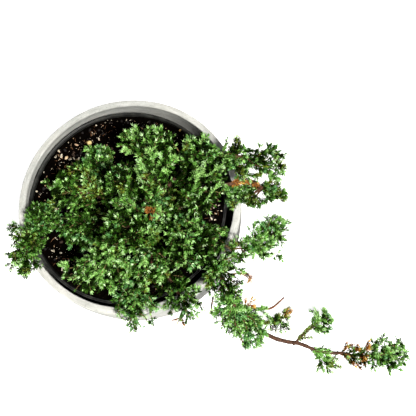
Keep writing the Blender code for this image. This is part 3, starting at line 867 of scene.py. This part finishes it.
# Leading shoots: pixel of each tip, by mass, for the outline that shows.
LEADERS = marks_by_name(
    """
    right_outer_upper 276,166 239,178 280,163 224,160 229,158 234,156 229,166 224,170 235,168 238,174
    247,168 253,164 259,166 264,170 270,168 256,150 262,152 268,150 275,152 236,164 242,168 248,169
    255,168 262,169 240,158 250,160 258,156 265,161 272,161 247,175 258,176 268,152 244,152 237,137
    230,147 243,148 251,151 262,145 270,145 276,147 284,158 285,167 284,172 272,176 262,174 254,176
    240,173
    right_outer_lower 228,190 234,196 240,190 236,203 230,199 268,184 274,190 266,194 258,200 250,204
    246,188 273,180 280,183 286,196 279,198 271,201 262,201 254,206 245,202 233,208 228,202 238,188
    right_sprig 269,216 279,217 284,222 287,228 283,239 274,245 262,222 255,223 252,234 262,258 264,252
    257,240 245,238
    right_small 245,256 253,253 247,244 238,262 236,238 231,244 241,247 239,259 232,258
    trail_start 216,297 222,296 217,312 235,302 241,296 231,308 245,306 229,315 238,319 248,326 262,341
    248,345 256,340 237,336 232,331 222,327 213,310 220,303 240,301 258,310 266,313 262,320 267,330
    214,318
    trail_side 288,318 290,326 285,331 276,332 271,320 276,316
    trail_upright 315,309 325,310 329,316 331,320 331,329 326,333 320,320
    trail_under 318,349 325,349 331,351 340,359 331,365 323,371 319,367 318,357
    trail_inner 345,348 351,345 358,346 364,349 369,346 349,361 355,366 361,363
    trail_tip 377,340 381,337 386,338 391,342 398,349 401,354 406,360 401,365 393,368 386,363 375,370
    372,366 382,366 374,346
    left_outer 9,228 13,225 11,236 16,241 14,246 10,254 17,250 13,262 11,270 19,273 27,273 34,270 40,267
    left_inner 34,204 28,211 27,221 44,206 51,205 55,222
    bottom 135,330 128,325 122,318 118,308 118,299 145,317 150,308 157,308
    bottom_right 196,304 194,295 198,288 186,312 176,309 170,298 182,299 190,306 196,300 163,307 172,305
    181,319 191,320 197,316 204,309 200,302 196,291
    lower_left 63,263 66,268 71,279 76,289 91,291 110,291 121,289
    upper_left 86,151 95,148 105,150 110,157 84,160 93,172
    left_upper 76,164 70,171 65,181 48,181 50,186 56,196
    middle 150,199 156,206 162,211 153,217 146,206 168,214 160,220
    middle_upper 150,194 158,197 165,202 144,190 160,190
    top_sprig 133,126 126,132 121,137 120,146 123,151 138,133
    top 148,129 142,136 158,137 165,135 170,137 175,146 137,155 139,163
    upper_right 188,138 193,139 200,143 207,146 184,147 214,152
    lower_right 243,272 218,293 225,286 234,291 241,284 230,279 222,292 229,297 238,300 232,276 238,286
    240,293 232,262 228,270
    """
)
# Dried shoots among the green ones: pixel of each tip, by mass.
DRY_LEADERS = marks_by_name(
    """
    middle_upper 151,175 143,163
    middle 153,212 150,209
    bottom_right 178,322
    trail_start 254,300
    trail_side 285,311
    trail_inner 369,345
    """
)
# Places that no foliage hides: pixel and radius in pixels.
OPENINGS = marks_of(
    """
    221,141,5 216,134,5 225,151,2 218,210,8 213,219,6 221,200,5 178,148,5 140,141,3.5 60,246,9 48,252,7
    203,299,5.5 208,306,6 260,192,4 66,222,3 163,300,4 253,266,4.5 54,262,5 58,272,6 66,284,6 74,293,4
    82,300,5 97,301,4 74,250,5 228,258,3 380,349,2.5 253,172,2.5 68,150,8 240,215,9 272,208,7 256,147,3
    246,144,2.5 142,321,5 146,311,3.5 238,249,3.5 319,310,2.5 14,250,2 274,250,4 12,258,2.5 281,311,3
    21,223,2.5 122,315,2.5 266,147,2 279,150,2 236,241,2 240,339,2 310,322,2 211,139,3 393,344,1.5
    264,197,2 219,146,3 75,287,4 175,154,2 146,236,3.5 89,256,2.5 104,290,2.5 144,180,2.5 120,148,4
    201,165,2 177,139,2.5 176,268,3.5 127,246,2.5 134,125,2 234,226,4 348,351.5,2.5 341,346,4
    342,361,4.5 226,246,2.5 173,310,2.5 251,145,2.5 235,233,2.5 150,315,2.5 137,212,2.5 72,265,4
    """
)
# Kinds for sprays deep in a crown mass or on its underside, mostly dark and shade: painted shade.
DEEP_KINDS = ("dark", "shade", "dark", "shade", "olive")
SHADE_DEPTH = 5 * MM  # how deep in a mass its fingers all wear the shade tint, as painted shade
DARK_SHARE = 0.6  # and from this share of it they wear the dark tint, as painted shade
SPRAYS_PER_CM3 = 3.7
SPRAYS_AT_LEAST = 7
# How the sprays of the outer masses differ from the crown's:
OUTER_SPREAD = 1.2  # how much wider open the needles stand
OUTER_STRETCH = 1.8  # how much further back along a shoot its fingers begin
OUTER_REACH = 0.9  # how long the fingers are
# How far apart the fingers stand, where it isn't the crown's distance.
OUTER_SPACING = {
    "right_outer_upper": 0.5, "right_outer_lower": 0.7, "left_outer": 0.8, "right_sprig": 0.85,
}
# How many times more of them there are, by volume.
OUTER_EXTRA = {
    "trail_tip": 2.5, "trail_inner": 1.9, "trail_upright": 1.5, "right_small": 1.7, "right_sprig": 3.0,
    "right_outer_upper": 4.2, "right_outer_lower": 3.4, "trail_start": 3.0, "left_outer": 3.0,
}
OTHER_EXTRA = 2.6  # the same for the other outer masses
CROWN_LOWEST = 12 * MM  # middle height over the rim from which a mass belongs to the crown
GOLDEN_TURN = math.radians(137.5)
FOLIAGE_STRETCH = 13 * MM  # how far behind a shoot's tip its fingers begin
FINGER_EVERY = 2.2 * MM
FINGER_LENGTH = 6.8 * MM
FINGER_RADIUS = 0.46 * MM
ONE_FORK_FROM = 3.6 * MM  # fingers longer than this fork once
TWO_FORKS_FROM = 5.0 * MM
WHORL_EVERY = 1.5 * MM
WHORL_TURN = math.pi / 3  # each whorl stands in the gaps of the one before
NEEDLE_OPENING = 40  # degrees between a finger's lowest needles and its axis
NEEDLE_CLOSING = 24  # how many of them are gone at its tip
NEEDLE_LENGTH = 3.5 * MM
NEEDLE_WIDTH = 0.9 * MM
NEEDLE_FACES = ([0, 1, 3], [1, 2, 3], [2, 0, 3], [0, 2, 1])
MOST_TRIANGLES = 190_000


# Shares of the way along a shoot from which it wears its middle and its tip tints.
MIDDLE_FROM = 0.3
TIP_FROM = 0.66


def tint_at(kind, share):
    """One of a kind's tints for a place this share of the way along a shoot."""
    tip_tints, middle_tints, old_tints = SPRAY_KINDS[kind]
    tints = tip_tints if share > TIP_FROM else middle_tints if share > MIDDLE_FROM else old_tints
    return dice.choice(tints.split())


def in_opening(point):
    px, py = pixel_of(point)
    return any((px - x) ** 2 + (py - y) ** 2 < radius**2 for x, y, radius in OPENINGS)


def across(axis):
    """Two directions at right angles to each row's axis and to each other."""
    helper = np.where(np.abs(axis[:, 2:3]) < 0.9, [[0.0, 0.0, 1.0]], [[1.0, 0.0, 0.0]])
    side = np.cross(axis, helper)
    side /= np.linalg.norm(side, axis=1, keepdims=True)
    return side, np.cross(axis, side)


class Needles:
    """Whorls gathered as rows by tint: place, axis, roll, length scale and opening angle."""

    def __init__(self):
        self.rows = {tint: [] for tint in TINTS}
        self.stems = {tint: [] for tint in TINTS}

    def whorl(self, place, axis, roll, scale, opening, tint):
        self.rows[tint].append((*place, *axis, roll, scale, opening))

    def finger(self, start, heading, length, kind, slender, bend=None, spread=1.0):
        """A stubby pointed branchlet covered in whorls. Its needles close up towards the tip."""
        if in_opening(start + heading * length) or in_opening(start):
            return
        count = max(2, int(length / WHORL_EVERY))
        roll = dice.uniform(0, ANY_ROLL)
        tints = [tint_at(kind, share) for share in (0.0, 0.5, 1.0)]
        self.stems[tints[1]].append((*start, *heading, length, FINGER_RADIUS * slender, roll))
        axis = heading.copy()
        place = start.copy()
        for k in range(count + 1):
            share = k / count
            if bend is not None:
                axis = (axis + bend * 0.35 / count).normalized()
            opening = spread * (NEEDLE_OPENING - NEEDLE_CLOSING * share**1.5)
            opening = math.radians(opening + dice.uniform(-7, 7))
            scale = slender * (1.0 - 0.42 * share**2) * dice.uniform(0.86, 1.12)
            tint = tints[0 if share < 0.25 else 1 if share < 0.6 else 2]
            self.whorl(place, axis, roll, scale, opening, tint)
            place = place + axis * (length / count)
            roll += WHORL_TURN + dice.uniform(-0.15, 0.15)

    def stem_pieces(self):
        """The green stems inside the fingers: three-sided spindles, one joined mesh for each tint, darkened
        as painted shade between the needles.
        """
        spindle = []
        for k in range(3):
            j = (k + 1) % 3
            spindle += [(k, j, 3 + j), (k, 3 + j, 3 + k), (6, j, k), (7, 3 + k, 3 + j)]
        for tint, rows in self.stems.items():
            if not rows:
                continue
            data = np.array(rows)
            start, axis, length = data[:, 0:3], data[:, 3:6], data[:, 6:7]
            radius, roll = data[:, 7:8], data[:, 8]
            side, other = across(axis)
            rings = []
            for share, swell in ((0.1, 1.0), (0.8, 0.7)):
                for k in range(3):
                    turn = (roll + k * math.pi / 1.5)[:, None]
                    out = side * np.cos(turn) + other * np.sin(turn)
                    rings.append(start + axis * length * share + out * radius * swell)
            rings += [start - axis * radius, start + axis * length * 1.05]
            points = np.stack(rings, axis=1).reshape(-1, 3)
            faces = (np.arange(len(data))[:, None, None] * 8 + np.array(spindle)[None]).reshape(-1, 3)
            # Painted shade: a stem wears 0.4 of its tint, so the gaps between the needles read dark.
            stem = tuple(channel * 0.4 for channel in TINTS[tint])
            mesh_piece("stems_" + tint, points, faces, needle_material("stem_" + tint, stem, 0.6))

    def pieces(self):
        """Joined meshes for each tint. A needle is a closed, keeled awl of four triangles."""
        for tint, rows in self.rows.items():
            if not rows:
                continue
            data = np.array(rows)
            place, axis = data[:, 0:3], data[:, 3:6]
            roll, scale, opening = data[:, 6], data[:, 7], data[:, 8]
            side, other = across(axis)
            points = []
            jitter = np.random.default_rng(len(data))
            for k in range(3):
                turn = roll + k * 2 * math.pi / 3 + jitter.uniform(-0.25, 0.25, len(data))
                out = side * np.cos(turn)[:, None] + other * np.sin(turn)[:, None]
                along = out * np.sin(opening)[:, None] + axis * np.cos(opening)[:, None]
                broad = np.cross(along, out)
                broad /= np.linalg.norm(broad, axis=1, keepdims=True)
                above = np.cross(broad, along)
                length = (NEEDLE_LENGTH * scale * jitter.uniform(0.8, 1.15, len(data)))[:, None]
                width = (NEEDLE_WIDTH * scale)[:, None]
                base = place + along * length * 0.2 + out * FINGER_RADIUS * 0.4
                left = base + broad * width * 0.5 + above * width * 0.18
                right = base - broad * width * 0.5 + above * width * 0.18
                keel = base - above * width * 0.42 - along * length * 0.16
                tip = place + along * length + above * length * 0.06
                points.append(np.stack([left, right, keel, tip], axis=1))
            needle_pieces(tint, np.concatenate(points).reshape(-1, 3))


def needle_pieces(tint, points):
    """One piece, or as many as keep each under the triangle limit. Four points make a needle."""
    material = needle_material("needle_" + tint, TINTS[tint])
    parts = math.ceil(len(points) / MOST_TRIANGLES)
    bounds = [len(points) // 4 * k // parts for k in range(parts + 1)]
    for k, (low, high) in enumerate(zip(bounds, bounds[1:])):
        first = (np.arange(high - low) * 4)[:, None]
        faces = np.concatenate([first + corners for corners in NEEDLE_FACES])
        name = f"needles_{tint}_{k + 1}"
        mesh_piece(name, points[low * 4 : high * 4], faces, material, smooth=False)


SPOT_TRIES = 14  # places tried for each spray, of which the loneliest is kept
SURFACE_CHANCE = 0.72  # how many of them are drawn towards the mass's surface
SURFACE_INSET = 2.2  # in mm
SHORTEST_SHOOT = 3.5 * MM
TURN_COST = 0.55  # what leaving against the wood's own way costs
DETOUR_COST = 0.4  # what a way round through older wood counts for, against a straight gap
SHOOT_STEP = 1.6 * MM
SHOOT_RADIUS = 0.26 * MM
PIPE_POWER = 0.42  # how fast a twig thickens with the shoots that it carries


class Growth:
    """The twigs of one mass: points with parents, grown from the bough's tip to each target."""

    def __init__(self, start, heading):
        self.points, self.parents, self.headings, self.run = [start], [-1], [heading], [0.0]
        self.ends = []
        self.least = {}

    def origin_for(self, target):
        """The point that a shoot to the target leaves from: near it, pointing its way, and not far
        round from the start, so that shoots fan out from the limb instead of chaining."""
        best, best_cost = 0, math.inf
        for k, (point, heading) in enumerate(zip(self.points, self.headings)):
            gap = target - point
            length = gap.length
            if length < SHORTEST_SHOOT:
                continue
            turn = 1 - heading.dot(gap / length)
            cost = length * (1 + TURN_COST * turn * turn) + self.run[k] * DETOUR_COST
            if cost < best_cost:
                best, best_cost = k, cost
        return best

    def grow(self, target, kind=None, upright=0.0, thick=0.0):
        """Adds a curved shoot that ends more or less upright, and returns the indexes of its points."""
        index = self.origin_for(target)
        start, heading = self.points[index], self.headings[index]
        gap = target - start
        straight = gap.normalized()
        stray = Vector((dice.gauss(0, 1), dice.gauss(0, 1), dice.gauss(0, 0.7)))
        away = (heading * 0.8 + straight + stray * 0.12).normalized()
        closing = (straight * (1 - upright) + UP * upright * 1.3 + stray * 0.16).normalized()
        first = start + away * gap.length * 0.36
        second = target - closing * gap.length * 0.38
        count = max(3, int(gap.length / SHOOT_STEP))
        line = [index]
        for point in interpolate_bezier(start, first, second, target, count + 1)[1:]:
            step = point - self.points[index]
            self.points.append(point)
            self.parents.append(index)
            self.headings.append(step.normalized())
            self.run.append(self.run[index] + step.length)
            index = len(self.points) - 1
            line.append(index)
        self.ends.append((line, kind))
        self.least[index] = thick
        return line

    def radii(self):
        """Pipe rule: a twig's thickness grows with the shoots that it carries."""
        load = [0] * len(self.points)
        least = [0.0] * len(self.points)
        for k, thick in self.least.items():
            while k != -1:
                load[k] += 1
                least[k] = max(least[k], thick)
                k = self.parents[k]
        return [max(SHOOT_RADIUS * max(n, 1) ** PIPE_POWER, t) for n, t in zip(load, least)]


def inside(tree, point):
    """Whether a point is inside a closed mass."""
    spot, normal = tree.find_nearest(point)[:2]
    return (point - spot).dot(normal) < 0


def spread_targets(node, tree, count, taken):
    """Points through a mass, kept apart, mostly near its upper surface."""
    low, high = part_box(node)
    found = []
    for _ in range(count):
        best, best_gap = None, -1
        for _ in range(SPOT_TRIES):
            point = Vector(dice.uniform(a, b) for a, b in zip(low, high))
            if not inside(tree, point) or in_opening(point):
                continue
            spot, normal = tree.find_nearest(point)[:2]
            if dice.random() < SURFACE_CHANCE and normal.z > -0.35:
                point = point.lerp(spot - normal * SURFACE_INSET * MM, dice.uniform(0.55, 1.0))
            gap = min(((point - p).length for p in found + taken), default=(high - low).length)
            if gap > best_gap:
                best, best_gap = point, gap
        if best is not None:
            found.append(best)
    return found


def leader_targets(node, leaders):
    """The leading shoots' tips: each pixel's point at the mass's own height."""
    rise = rise_of(middle_of(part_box(node)))
    marks = leaders.get(node.removeprefix("foliage_"), ())
    return [at_pixel(px, py, rise + dice.uniform(-2, 3)) for px, py in marks]


def kind_at(tree, place, kind):
    """What a finger wears: the spray's own kind near the mass's surface, and deep in it the dark and shade
    tints as painted shade.
    """
    if tree is None or kind in ("dry", "rusty"):
        return kind
    spot, normal = tree.find_nearest(place)[:2]
    depth = (spot - place).dot(normal)
    if depth > SHADE_DEPTH:
        return "shade"
    return "dark" if depth > SHADE_DEPTH * DARK_SHARE else kind


def spray(needles, points, kind, tree, stretch, outer=False, spacing=1.0):
    """Dresses the last stretch of a shoot in side fingers, and its leader in whorls."""
    lengths = [0.0]
    for a, b in zip(points, points[1:]):
        lengths.append(lengths[-1] + (b - a).length)
    total = lengths[-1]
    stretch = min(stretch, total * 0.96)
    spread, reach = (OUTER_SPREAD, OUTER_REACH) if outer else (1.0, 1.0)

    def at(distance):
        k = 0
        while distance > lengths[k + 1] and k < len(lengths) - 2:
            k += 1
        share = (distance - lengths[k]) / max(lengths[k + 1] - lengths[k], 1e-9)
        axis = (points[k + 1] - points[k]).normalized()
        return points[k].lerp(points[k + 1], min(max(share, 0), 1)), axis

    distance = total - stretch
    roll = dice.uniform(0, ANY_ROLL)
    while distance < total:
        place, axis = at(distance)
        share = (distance - (total - stretch)) / stretch
        tint = tint_at(kind, share * 0.8)
        if not in_opening(place):
            opening = math.radians(52 - 20 * share**3)
            needles.whorl(place, axis, roll, dice.uniform(0.8, 1.05), opening, tint)
        roll += WHORL_TURN
        distance += WHORL_EVERY * 1.1
    place, axis = at(total)
    needles.whorl(place, axis, roll, 0.9, math.radians(14), tint_at(kind, 1))
    distance = total - stretch
    phase = dice.uniform(0, ANY_ROLL)
    while distance < total - 1.2 * MM:
        place, axis = at(distance)
        share = (distance - (total - stretch)) / stretch
        level = axis.cross(UP)
        level = level.normalized() if level.length > 0.1 else Vector((1, 0, 0))
        phase += GOLDEN_TURN + dice.uniform(-0.3, 0.3)
        depth = math.sin(phase) * (0.35 + 0.65 * abs(axis.z))
        if depth < -0.45:
            depth *= -0.6
        sideways = (level * math.cos(phase) + level.cross(axis) * depth).normalized()
        angle = math.radians(dice.uniform(36, 56))
        heading = (axis * math.cos(angle) + sideways * math.sin(angle)).normalized()
        length = reach * FINGER_LENGTH * (1.0 - 0.68 * share) * dice.uniform(0.65, 1.15)
        bend = (axis * 0.8 + UP * 0.2).normalized()
        worn = kind_at(tree, place, kind)
        needles.finger(place, heading, length, worn, 0.98, bend, spread)
        for _ in range((length > ONE_FORK_FROM) + (length > TWO_FORKS_FROM)):
            fork = place + heading * length * dice.uniform(0.35, 0.7)
            twist = heading + heading.cross(sideways) * dice.uniform(-1, 1) + axis * dice.uniform(-0.2, 0.7)
            size = dice.uniform(1.9, 2.9) * MM
            needles.finger(fork, twist.normalized(), size, worn, 0.9, None, spread)
        distance += FINGER_EVERY * spacing * dice.uniform(0.8, 1.2)


def mass_volume(node):
    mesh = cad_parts[node].data
    mesh.calc_loop_triangles()
    co = [v.co for v in mesh.vertices]
    corners = [triangle.vertices for triangle in mesh.loop_triangles]
    return sum(co[a].dot(co[b].cross(co[c])) for a, b, c in corners) / 6


JOIN_REACH = 2.6 * MM  # a limb whose end is this near a mass feeds it or leaves it
THICK_TWIG = 0.62 * MM  # from this radius a twig is rounder and wears the limbs' bark
THICK_SIDES = 7
THIN_SIDES = 4


def limbs_at(tree):
    """The bough that feeds a mass, and those that leave it."""
    feeding, leaving = [], []
    for limb in [*LIMBS.values(), TWIG]:
        for spot, found in ((limb.points[-1], feeding), (limb.points[0], leaving)):
            gap = (tree.find_nearest(spot)[0] - spot).length
            if gap < JOIN_REACH:
                found.append((gap, limb))
    return min(feeding, key=lambda row: row[0])[1], [limb for _, limb in leaving]


def grow_mass(node, needles, twigs, inner_limbs):
    name = node.removeprefix("foliage_")
    tree = tree_of(node)
    low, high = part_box(node)
    core = middle_of((low, high))
    feeder, leaving = limbs_at(tree)
    growth = Growth(feeder.points[-1], beyond(feeder.points))
    growth.grow(core - UP * (high.z - low.z) * 0.15, thick=feeder.radii[-1] * 0.8)
    for limb in leaving:
        growth.grow(limb.points[0], thick=limb.radii[0] * 0.9)
    outer = core.z <= RIM_HEIGHT + CROWN_LOWEST
    leaders = leader_targets(node, LEADERS)
    dry = leader_targets(node, DRY_LEADERS)
    extra = OUTER_EXTRA.get(name, OTHER_EXTRA) if outer else 1
    count = int(mass_volume(node) * 1e6 * SPRAYS_PER_CM3 * extra) - len(leaders) // 2
    kinds = MASS_KINDS[name].split()
    goals = [(point, dice.choice(kinds), 0.0) for point in leaders]
    goals += [(point, "dry" if outer else "rusty", 0.2) for point in dry]
    for point in spread_targets(node, tree, max(SPRAYS_AT_LEAST, count), leaders):
        spot, normal = tree.find_nearest(point)[:2]
        # Sprays deep in a crown mass or on its underside wear the deep kinds: painted shade.
        deep = not outer and ((point - spot).length > SHADE_DEPTH or normal.z < -0.3)
        upright = dice.uniform(-0.05, 0.25) if outer else dice.uniform(0.0, 0.35)
        goals.append((point, dice.choice(DEEP_KINDS if deep else kinds), upright))
    start = growth.points[0]
    goals.sort(key=lambda goal: (goal[0] - start).length)
    for goal in goals:
        growth.grow(*goal)
    radii = growth.radii()
    for line, kind in growth.ends:
        path = [growth.points[k] for k in line]
        widths = [radii[k] for k in line]
        widths[0] = min(widths[0], widths[1] * 1.3)
        thick = widths[1] > THICK_TWIG
        tube(inner_limbs if thick else twigs, path, widths, THICK_SIDES if thick else THIN_SIDES)
        if kind or outer:
            stretch = FOLIAGE_STRETCH * dice.uniform(0.8, 1.15) * (OUTER_STRETCH if outer else 1)
            spray(needles, path, kind or kinds[0], tree, stretch, outer, OUTER_SPACING.get(name, 1))


# Shoots low on the boughs inside the pot: how many, by bough. They close the crown's dark inside.
INNER_SHOOTS = {
    "north": 20, "north_east": 16, "east": 20, "south_east": 14, "south": 16, "bottom_right": 9,
    "south_west": 14, "west": 14, "north_west": 16, "upper_left": 8, "middle": 10, "lower_inner": 8,
    "middle_upper": 8, "right_small": 4, "lower_right": 6, "right_outer_upper": 5,
}

INNER_TWIG = 0.4 * MM


def grow_inner_shoots(needles, twigs):
    for name, count in INNER_SHOOTS.items():
        points = LIMBS["bough_" + name].points
        for _ in range(count):
            share = dice.uniform(0.15, 0.95)
            k = min(int(share * (len(points) - 1)), len(points) - 2)
            start = points[k].lerp(points[k + 1], dice.random())
            ahead = (points[k + 1] - points[k]).normalized()
            side = ahead.cross(UP).normalized() * dice.choice((-1, 1))
            heading = ahead * dice.uniform(0.1, 0.9) + side * dice.random() + UP * dice.uniform(-0.1, 1.0)
            heading.normalize()
            growth = Growth(start, heading)
            target = start + heading * dice.uniform(11, 19) * MM
            target.z = max(target.z, soil_level(target.x, target.y) + 4 * MM)
            line = growth.grow(target, upright=dice.uniform(0, 0.7))
            path = [growth.points[i] for i in line]
            tube(twigs, path, [INNER_TWIG] * len(path), THIN_SIDES)
            # Mostly dark and shade kinds: painted shade under the crown.
            kind = dice.choice(("dark", "dark", "shade", "mid", "olive"))
            spray(needles, path, kind, None, FOLIAGE_STRETCH)


# Limbs that wear needles along their bark: kind, first and last share of the way, needle size.
DRESSED_LIMBS = {
    "right_outer_lower": ("rusty", 0.18, 0.92, 0.85),
    "trail_upright": ("olive", 0.15, 1.0, 0.75),
    "trail_side": ("olive", 0.1, 1.0, 0.7),
    "right_sprig": ("dark", 0.0, 0.55, 0.8),
    "trail_under": ("mid", 0.2, 1.0, 0.8),
    "trailing": ("fresh", 0.68, 0.86, 1.0),
    "trail_tip": ("dark", 0.0, 1.0, 0.8),
    "left_outer": ("dark", 0.0, 1.0, 0.9),
    "trail_start": ("fresh", 0.0, 1.0, 1.0),
    "lower_right": ("mid", 0.3, 1.0, 1.0),
    "left_inner": ("dark", 0.0, 1.0, 0.9),
    "right_outer_upper": ("dark", 0.0, 1.0, 0.9),
}

DRESS_TURNS = (0.4, 2.0, 3.5, 5.1)


def dress_limbs(needles):
    """Whorls and stubby fingers straight on a limb's bark."""
    for name, (kind, first, last, size) in DRESSED_LIMBS.items():
        limb = LIMBS["bough_" + name]
        path = smooth_path(limb.points, 1.1 * MM)
        roll = dice.uniform(0, ANY_ROLL)
        for k in range(int(first * (len(path) - 1)), int(last * (len(path) - 1))):
            axis = (path[k + 1] - path[k]).normalized()
            side = axis.cross(UP).normalized()
            for turn in DRESS_TURNS:
                out = side * math.cos(roll + turn) + axis.cross(side) * math.sin(roll + turn)
                heading = (axis + out * dice.uniform(0.6, 1.4)).normalized()
                tint = tint_at(kind, dice.uniform(0.2, 0.9))
                place = path[k] + out * limb.radii[-1] * 0.8
                needles.whorl(place, heading, roll, size, math.radians(30), tint)
            if dice.random() < 0.3:
                out = side * math.cos(roll) + axis.cross(side) * abs(math.sin(roll))
                needles.finger(path[k], (axis + out).normalized(), dice.uniform(2.5, 4.5) * MM, kind, size)
            roll += 1.1


CROWN_RISE = 30  # middle height of the crown's upper masses above the rim, in mm
YOUNG_SIZE = 0.62
YOUNG_FORKS = (0.45, 0.65, 0.82)
# Long straight young shoots over the crown: pixels of foot and tip, and the tip's rise in mm.
YOUNG_SHOOTS = marks_of(
    """
    203,204,222,179,5 207,176,225,163,4 188,180,205,170,5 192,176,207,160,6 193,190,200,172,6
    135,168,143,184,6 118,190,124,205,4 148,240,160,226,5 186,262,172,272,4
    """
)


def surface_at(px, py):
    """The point of the masses' surface that is seen at a pixel, or the nearest one beside a gap."""
    toward = (at_pixel(px, py, 0) - CAMERA_PLACE).normalized()
    trees = [tree_of(node) for node in MASSES]
    hits = [tree.ray_cast(CAMERA_PLACE, toward)[0] for tree in trees]
    seen = [hit for hit in hits if hit is not None]
    if seen:
        return min(seen, key=lambda hit: (hit - CAMERA_PLACE).length)
    middle = at_pixel(px, py, CROWN_RISE)
    return min((tree.find_nearest(middle)[0] for tree in trees), key=lambda spot: (spot - middle).length)


def grow_young_shoots(needles):
    for foot_x, foot_y, tip_x, tip_y, lift in YOUNG_SHOOTS:
        foot = surface_at(foot_x, foot_y)
        line = at_pixel(tip_x, tip_y, rise_of(foot) + lift) - foot
        ahead = line.normalized()
        needles.finger(foot, ahead, line.length, "young", YOUNG_SIZE, UP * 0.4)
        for share in YOUNG_FORKS:
            heading = (ahead * 1.2 + ahead.cross(UP) * dice.choice((-1, 1))).normalized()
            length = dice.uniform(2.5, 4.5) * MM
            needles.finger(foot + line * share, heading, length, "young", YOUNG_SIZE)


# Small shoots drawn one by one: height above the rim in mm, thickness at the root in mm, kind,
# needle size, the share of the way that stays bare, and the line as pixels.
DRAWN_SHOOTS = (
    (21, 0.65, "rusty", 1.15, 0.35, "230,275 238,273 245,274 250,277 249,282"),
    (-6, 0.55, "olive", 1.1, 0.1, "297,340 303,338 312,337.5"),
    (7, 0.55, "rusty", 0.8, 0.1, "213,296 212,304 211,312"),
    (-14.8, 0.5, "rusty", 0.9, 0.3, "340,353 345,349 350,345"),
)


def grow_drawn_shoots(needles, twigs):
    """Short shoots that stand apart from the masses, each dressed along its outer stretch."""
    for rise, thick, kind, size, bare, marks in DRAWN_SHOOTS:
        path = smooth_path([at_pixel(px, py, rise) for px, py in marks_of(marks)], 0.8 * MM)
        last = len(path) - 1
        tube(twigs, path, [thick * MM * (1 - 0.5 * k / last) for k in range(last + 1)], 6)
        for k in range(int(bare * last), last):
            axis = (path[k + 1] - path[k]).normalized()
            tint = tint_at(kind, k / last)
            roll = dice.uniform(0, ANY_ROLL)
            needles.whorl(path[k], axis, roll, size, math.radians(dice.uniform(30, 54)), tint)


def make_foliage():
    needles, twigs, inner_limbs = Needles(), Soup(), Soup()
    for node in MASSES:
        grow_mass(node, needles, twigs, inner_limbs)
    grow_inner_shoots(needles, twigs)
    dress_limbs(needles)
    grow_young_shoots(needles)
    grow_drawn_shoots(needles, twigs)
    needles.pieces()
    needles.stem_pieces()
    finish = twig_material("inner_limb_bark", (0.03, 0.012, 0.006), (0.12, 0.052, 0.026))
    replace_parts(inner_limbs.piece("inner_limbs", finish, "bark"), *MASSES)
    twigs.piece("fine_twigs", twig_material("twig_bark", (0.05, 0.045, 0.015), (0.20, 0.13, 0.05)), "bark")


# ---- Studio

STAGE_HALF = 3.0
STAGE_LOW = -0.0003
BACKDROP_STEPS = 48


def add_light(name, place, aim, size, power, colour, only=None):
    """A round area light, on everything or only on the pieces of one collection."""
    data = bpy.data.lights.new(name, "AREA")
    data.shape = "DISK"
    data.size = size
    data.energy = power
    data.color = colour
    light = placed(name, data)
    light.location = place
    light.rotation_euler = (Vector(aim) - Vector(place)).to_track_quat("-Z", "Y").to_euler()
    if only is not None:
        light.light_linking.receiver_collection = only


def add_paper(name, points, faces, glow):
    """A white stage surface. It lights nothing, so that the plant's own shade stays deep."""
    mesh = bpy.data.meshes.new(name)
    mesh.from_pydata(points, [], faces)
    paper = placed(name, mesh)
    shader = Shader(name + "_white", 0.9, 0.1)
    grey, white = (0.93, 0.93, 0.93), (1, 1, 1)
    inputs = {"Base Color": grey, "Emission Color": white, "Emission Strength": glow}
    shader.fill(shader.surface, inputs)
    mesh.materials.append(shader.material)
    paper.visible_diffuse = False
    paper.visible_glossy = False
    paper.visible_shadow = False


def add_studio():
    half = STAGE_HALF
    corners = [(x, y, STAGE_LOW) for x, y in ((-half, -half), (half, -half), (half, half), (-half, half))]
    add_paper("floor", corners, [(0, 1, 2, 3)], 0.93)
    steps = BACKDROP_STEPS
    ring = [on_circle(half * 0.98, FULL_TURN * k / steps) for k in range(steps)]
    wall = [(x, y, STAGE_LOW) for x, y in ring] + [(x, y, half) for x, y in ring]
    sides = [(k, (k + 1) % steps, steps + (k + 1) % steps, steps + k) for k in range(steps)]
    add_paper("backdrop", wall, sides, 0.88)
    world = bpy.data.worlds.new("soft_room")
    world.use_nodes = True
    background = world.node_tree.nodes["Background"]
    background.inputs["Color"].default_value = (1, 1, 1, 1)
    background.inputs["Strength"].default_value = 0.02
    bpy.context.scene.world = world
    crown = (0.02, -0.02, 0.12)
    add_light("key", (0.42, -0.42, 1.05), crown, 0.16, 27, (1.0, 0.985, 0.95))
    add_light("fill", (-0.9, 0.75, 0.35), crown, 0.8, 4, (0.97, 0.98, 1.0))
    pot = bpy.data.collections.new("pot_wall_only")
    pot.objects.link(bpy.data.objects["planter_wall"])
    for k, power in enumerate((7, 4.5, 8, 9)):
        place = (*on_circle(1, math.radians(-60 + 90 * k)), 0.12)
        add_light(f"wall_{k + 1}", place, (0, 0, 0.07), 0.7, power, (1.0, 1.0, 0.99), pot)
    bpy.context.scene.view_settings.view_transform = "Standard"


add_camera()
make_planter()
make_liner()
make_soil()
make_grit()
make_stones()
make_bark()
make_dead_twig()
make_foliage()
add_studio()

bpy.context.view_layer.update()
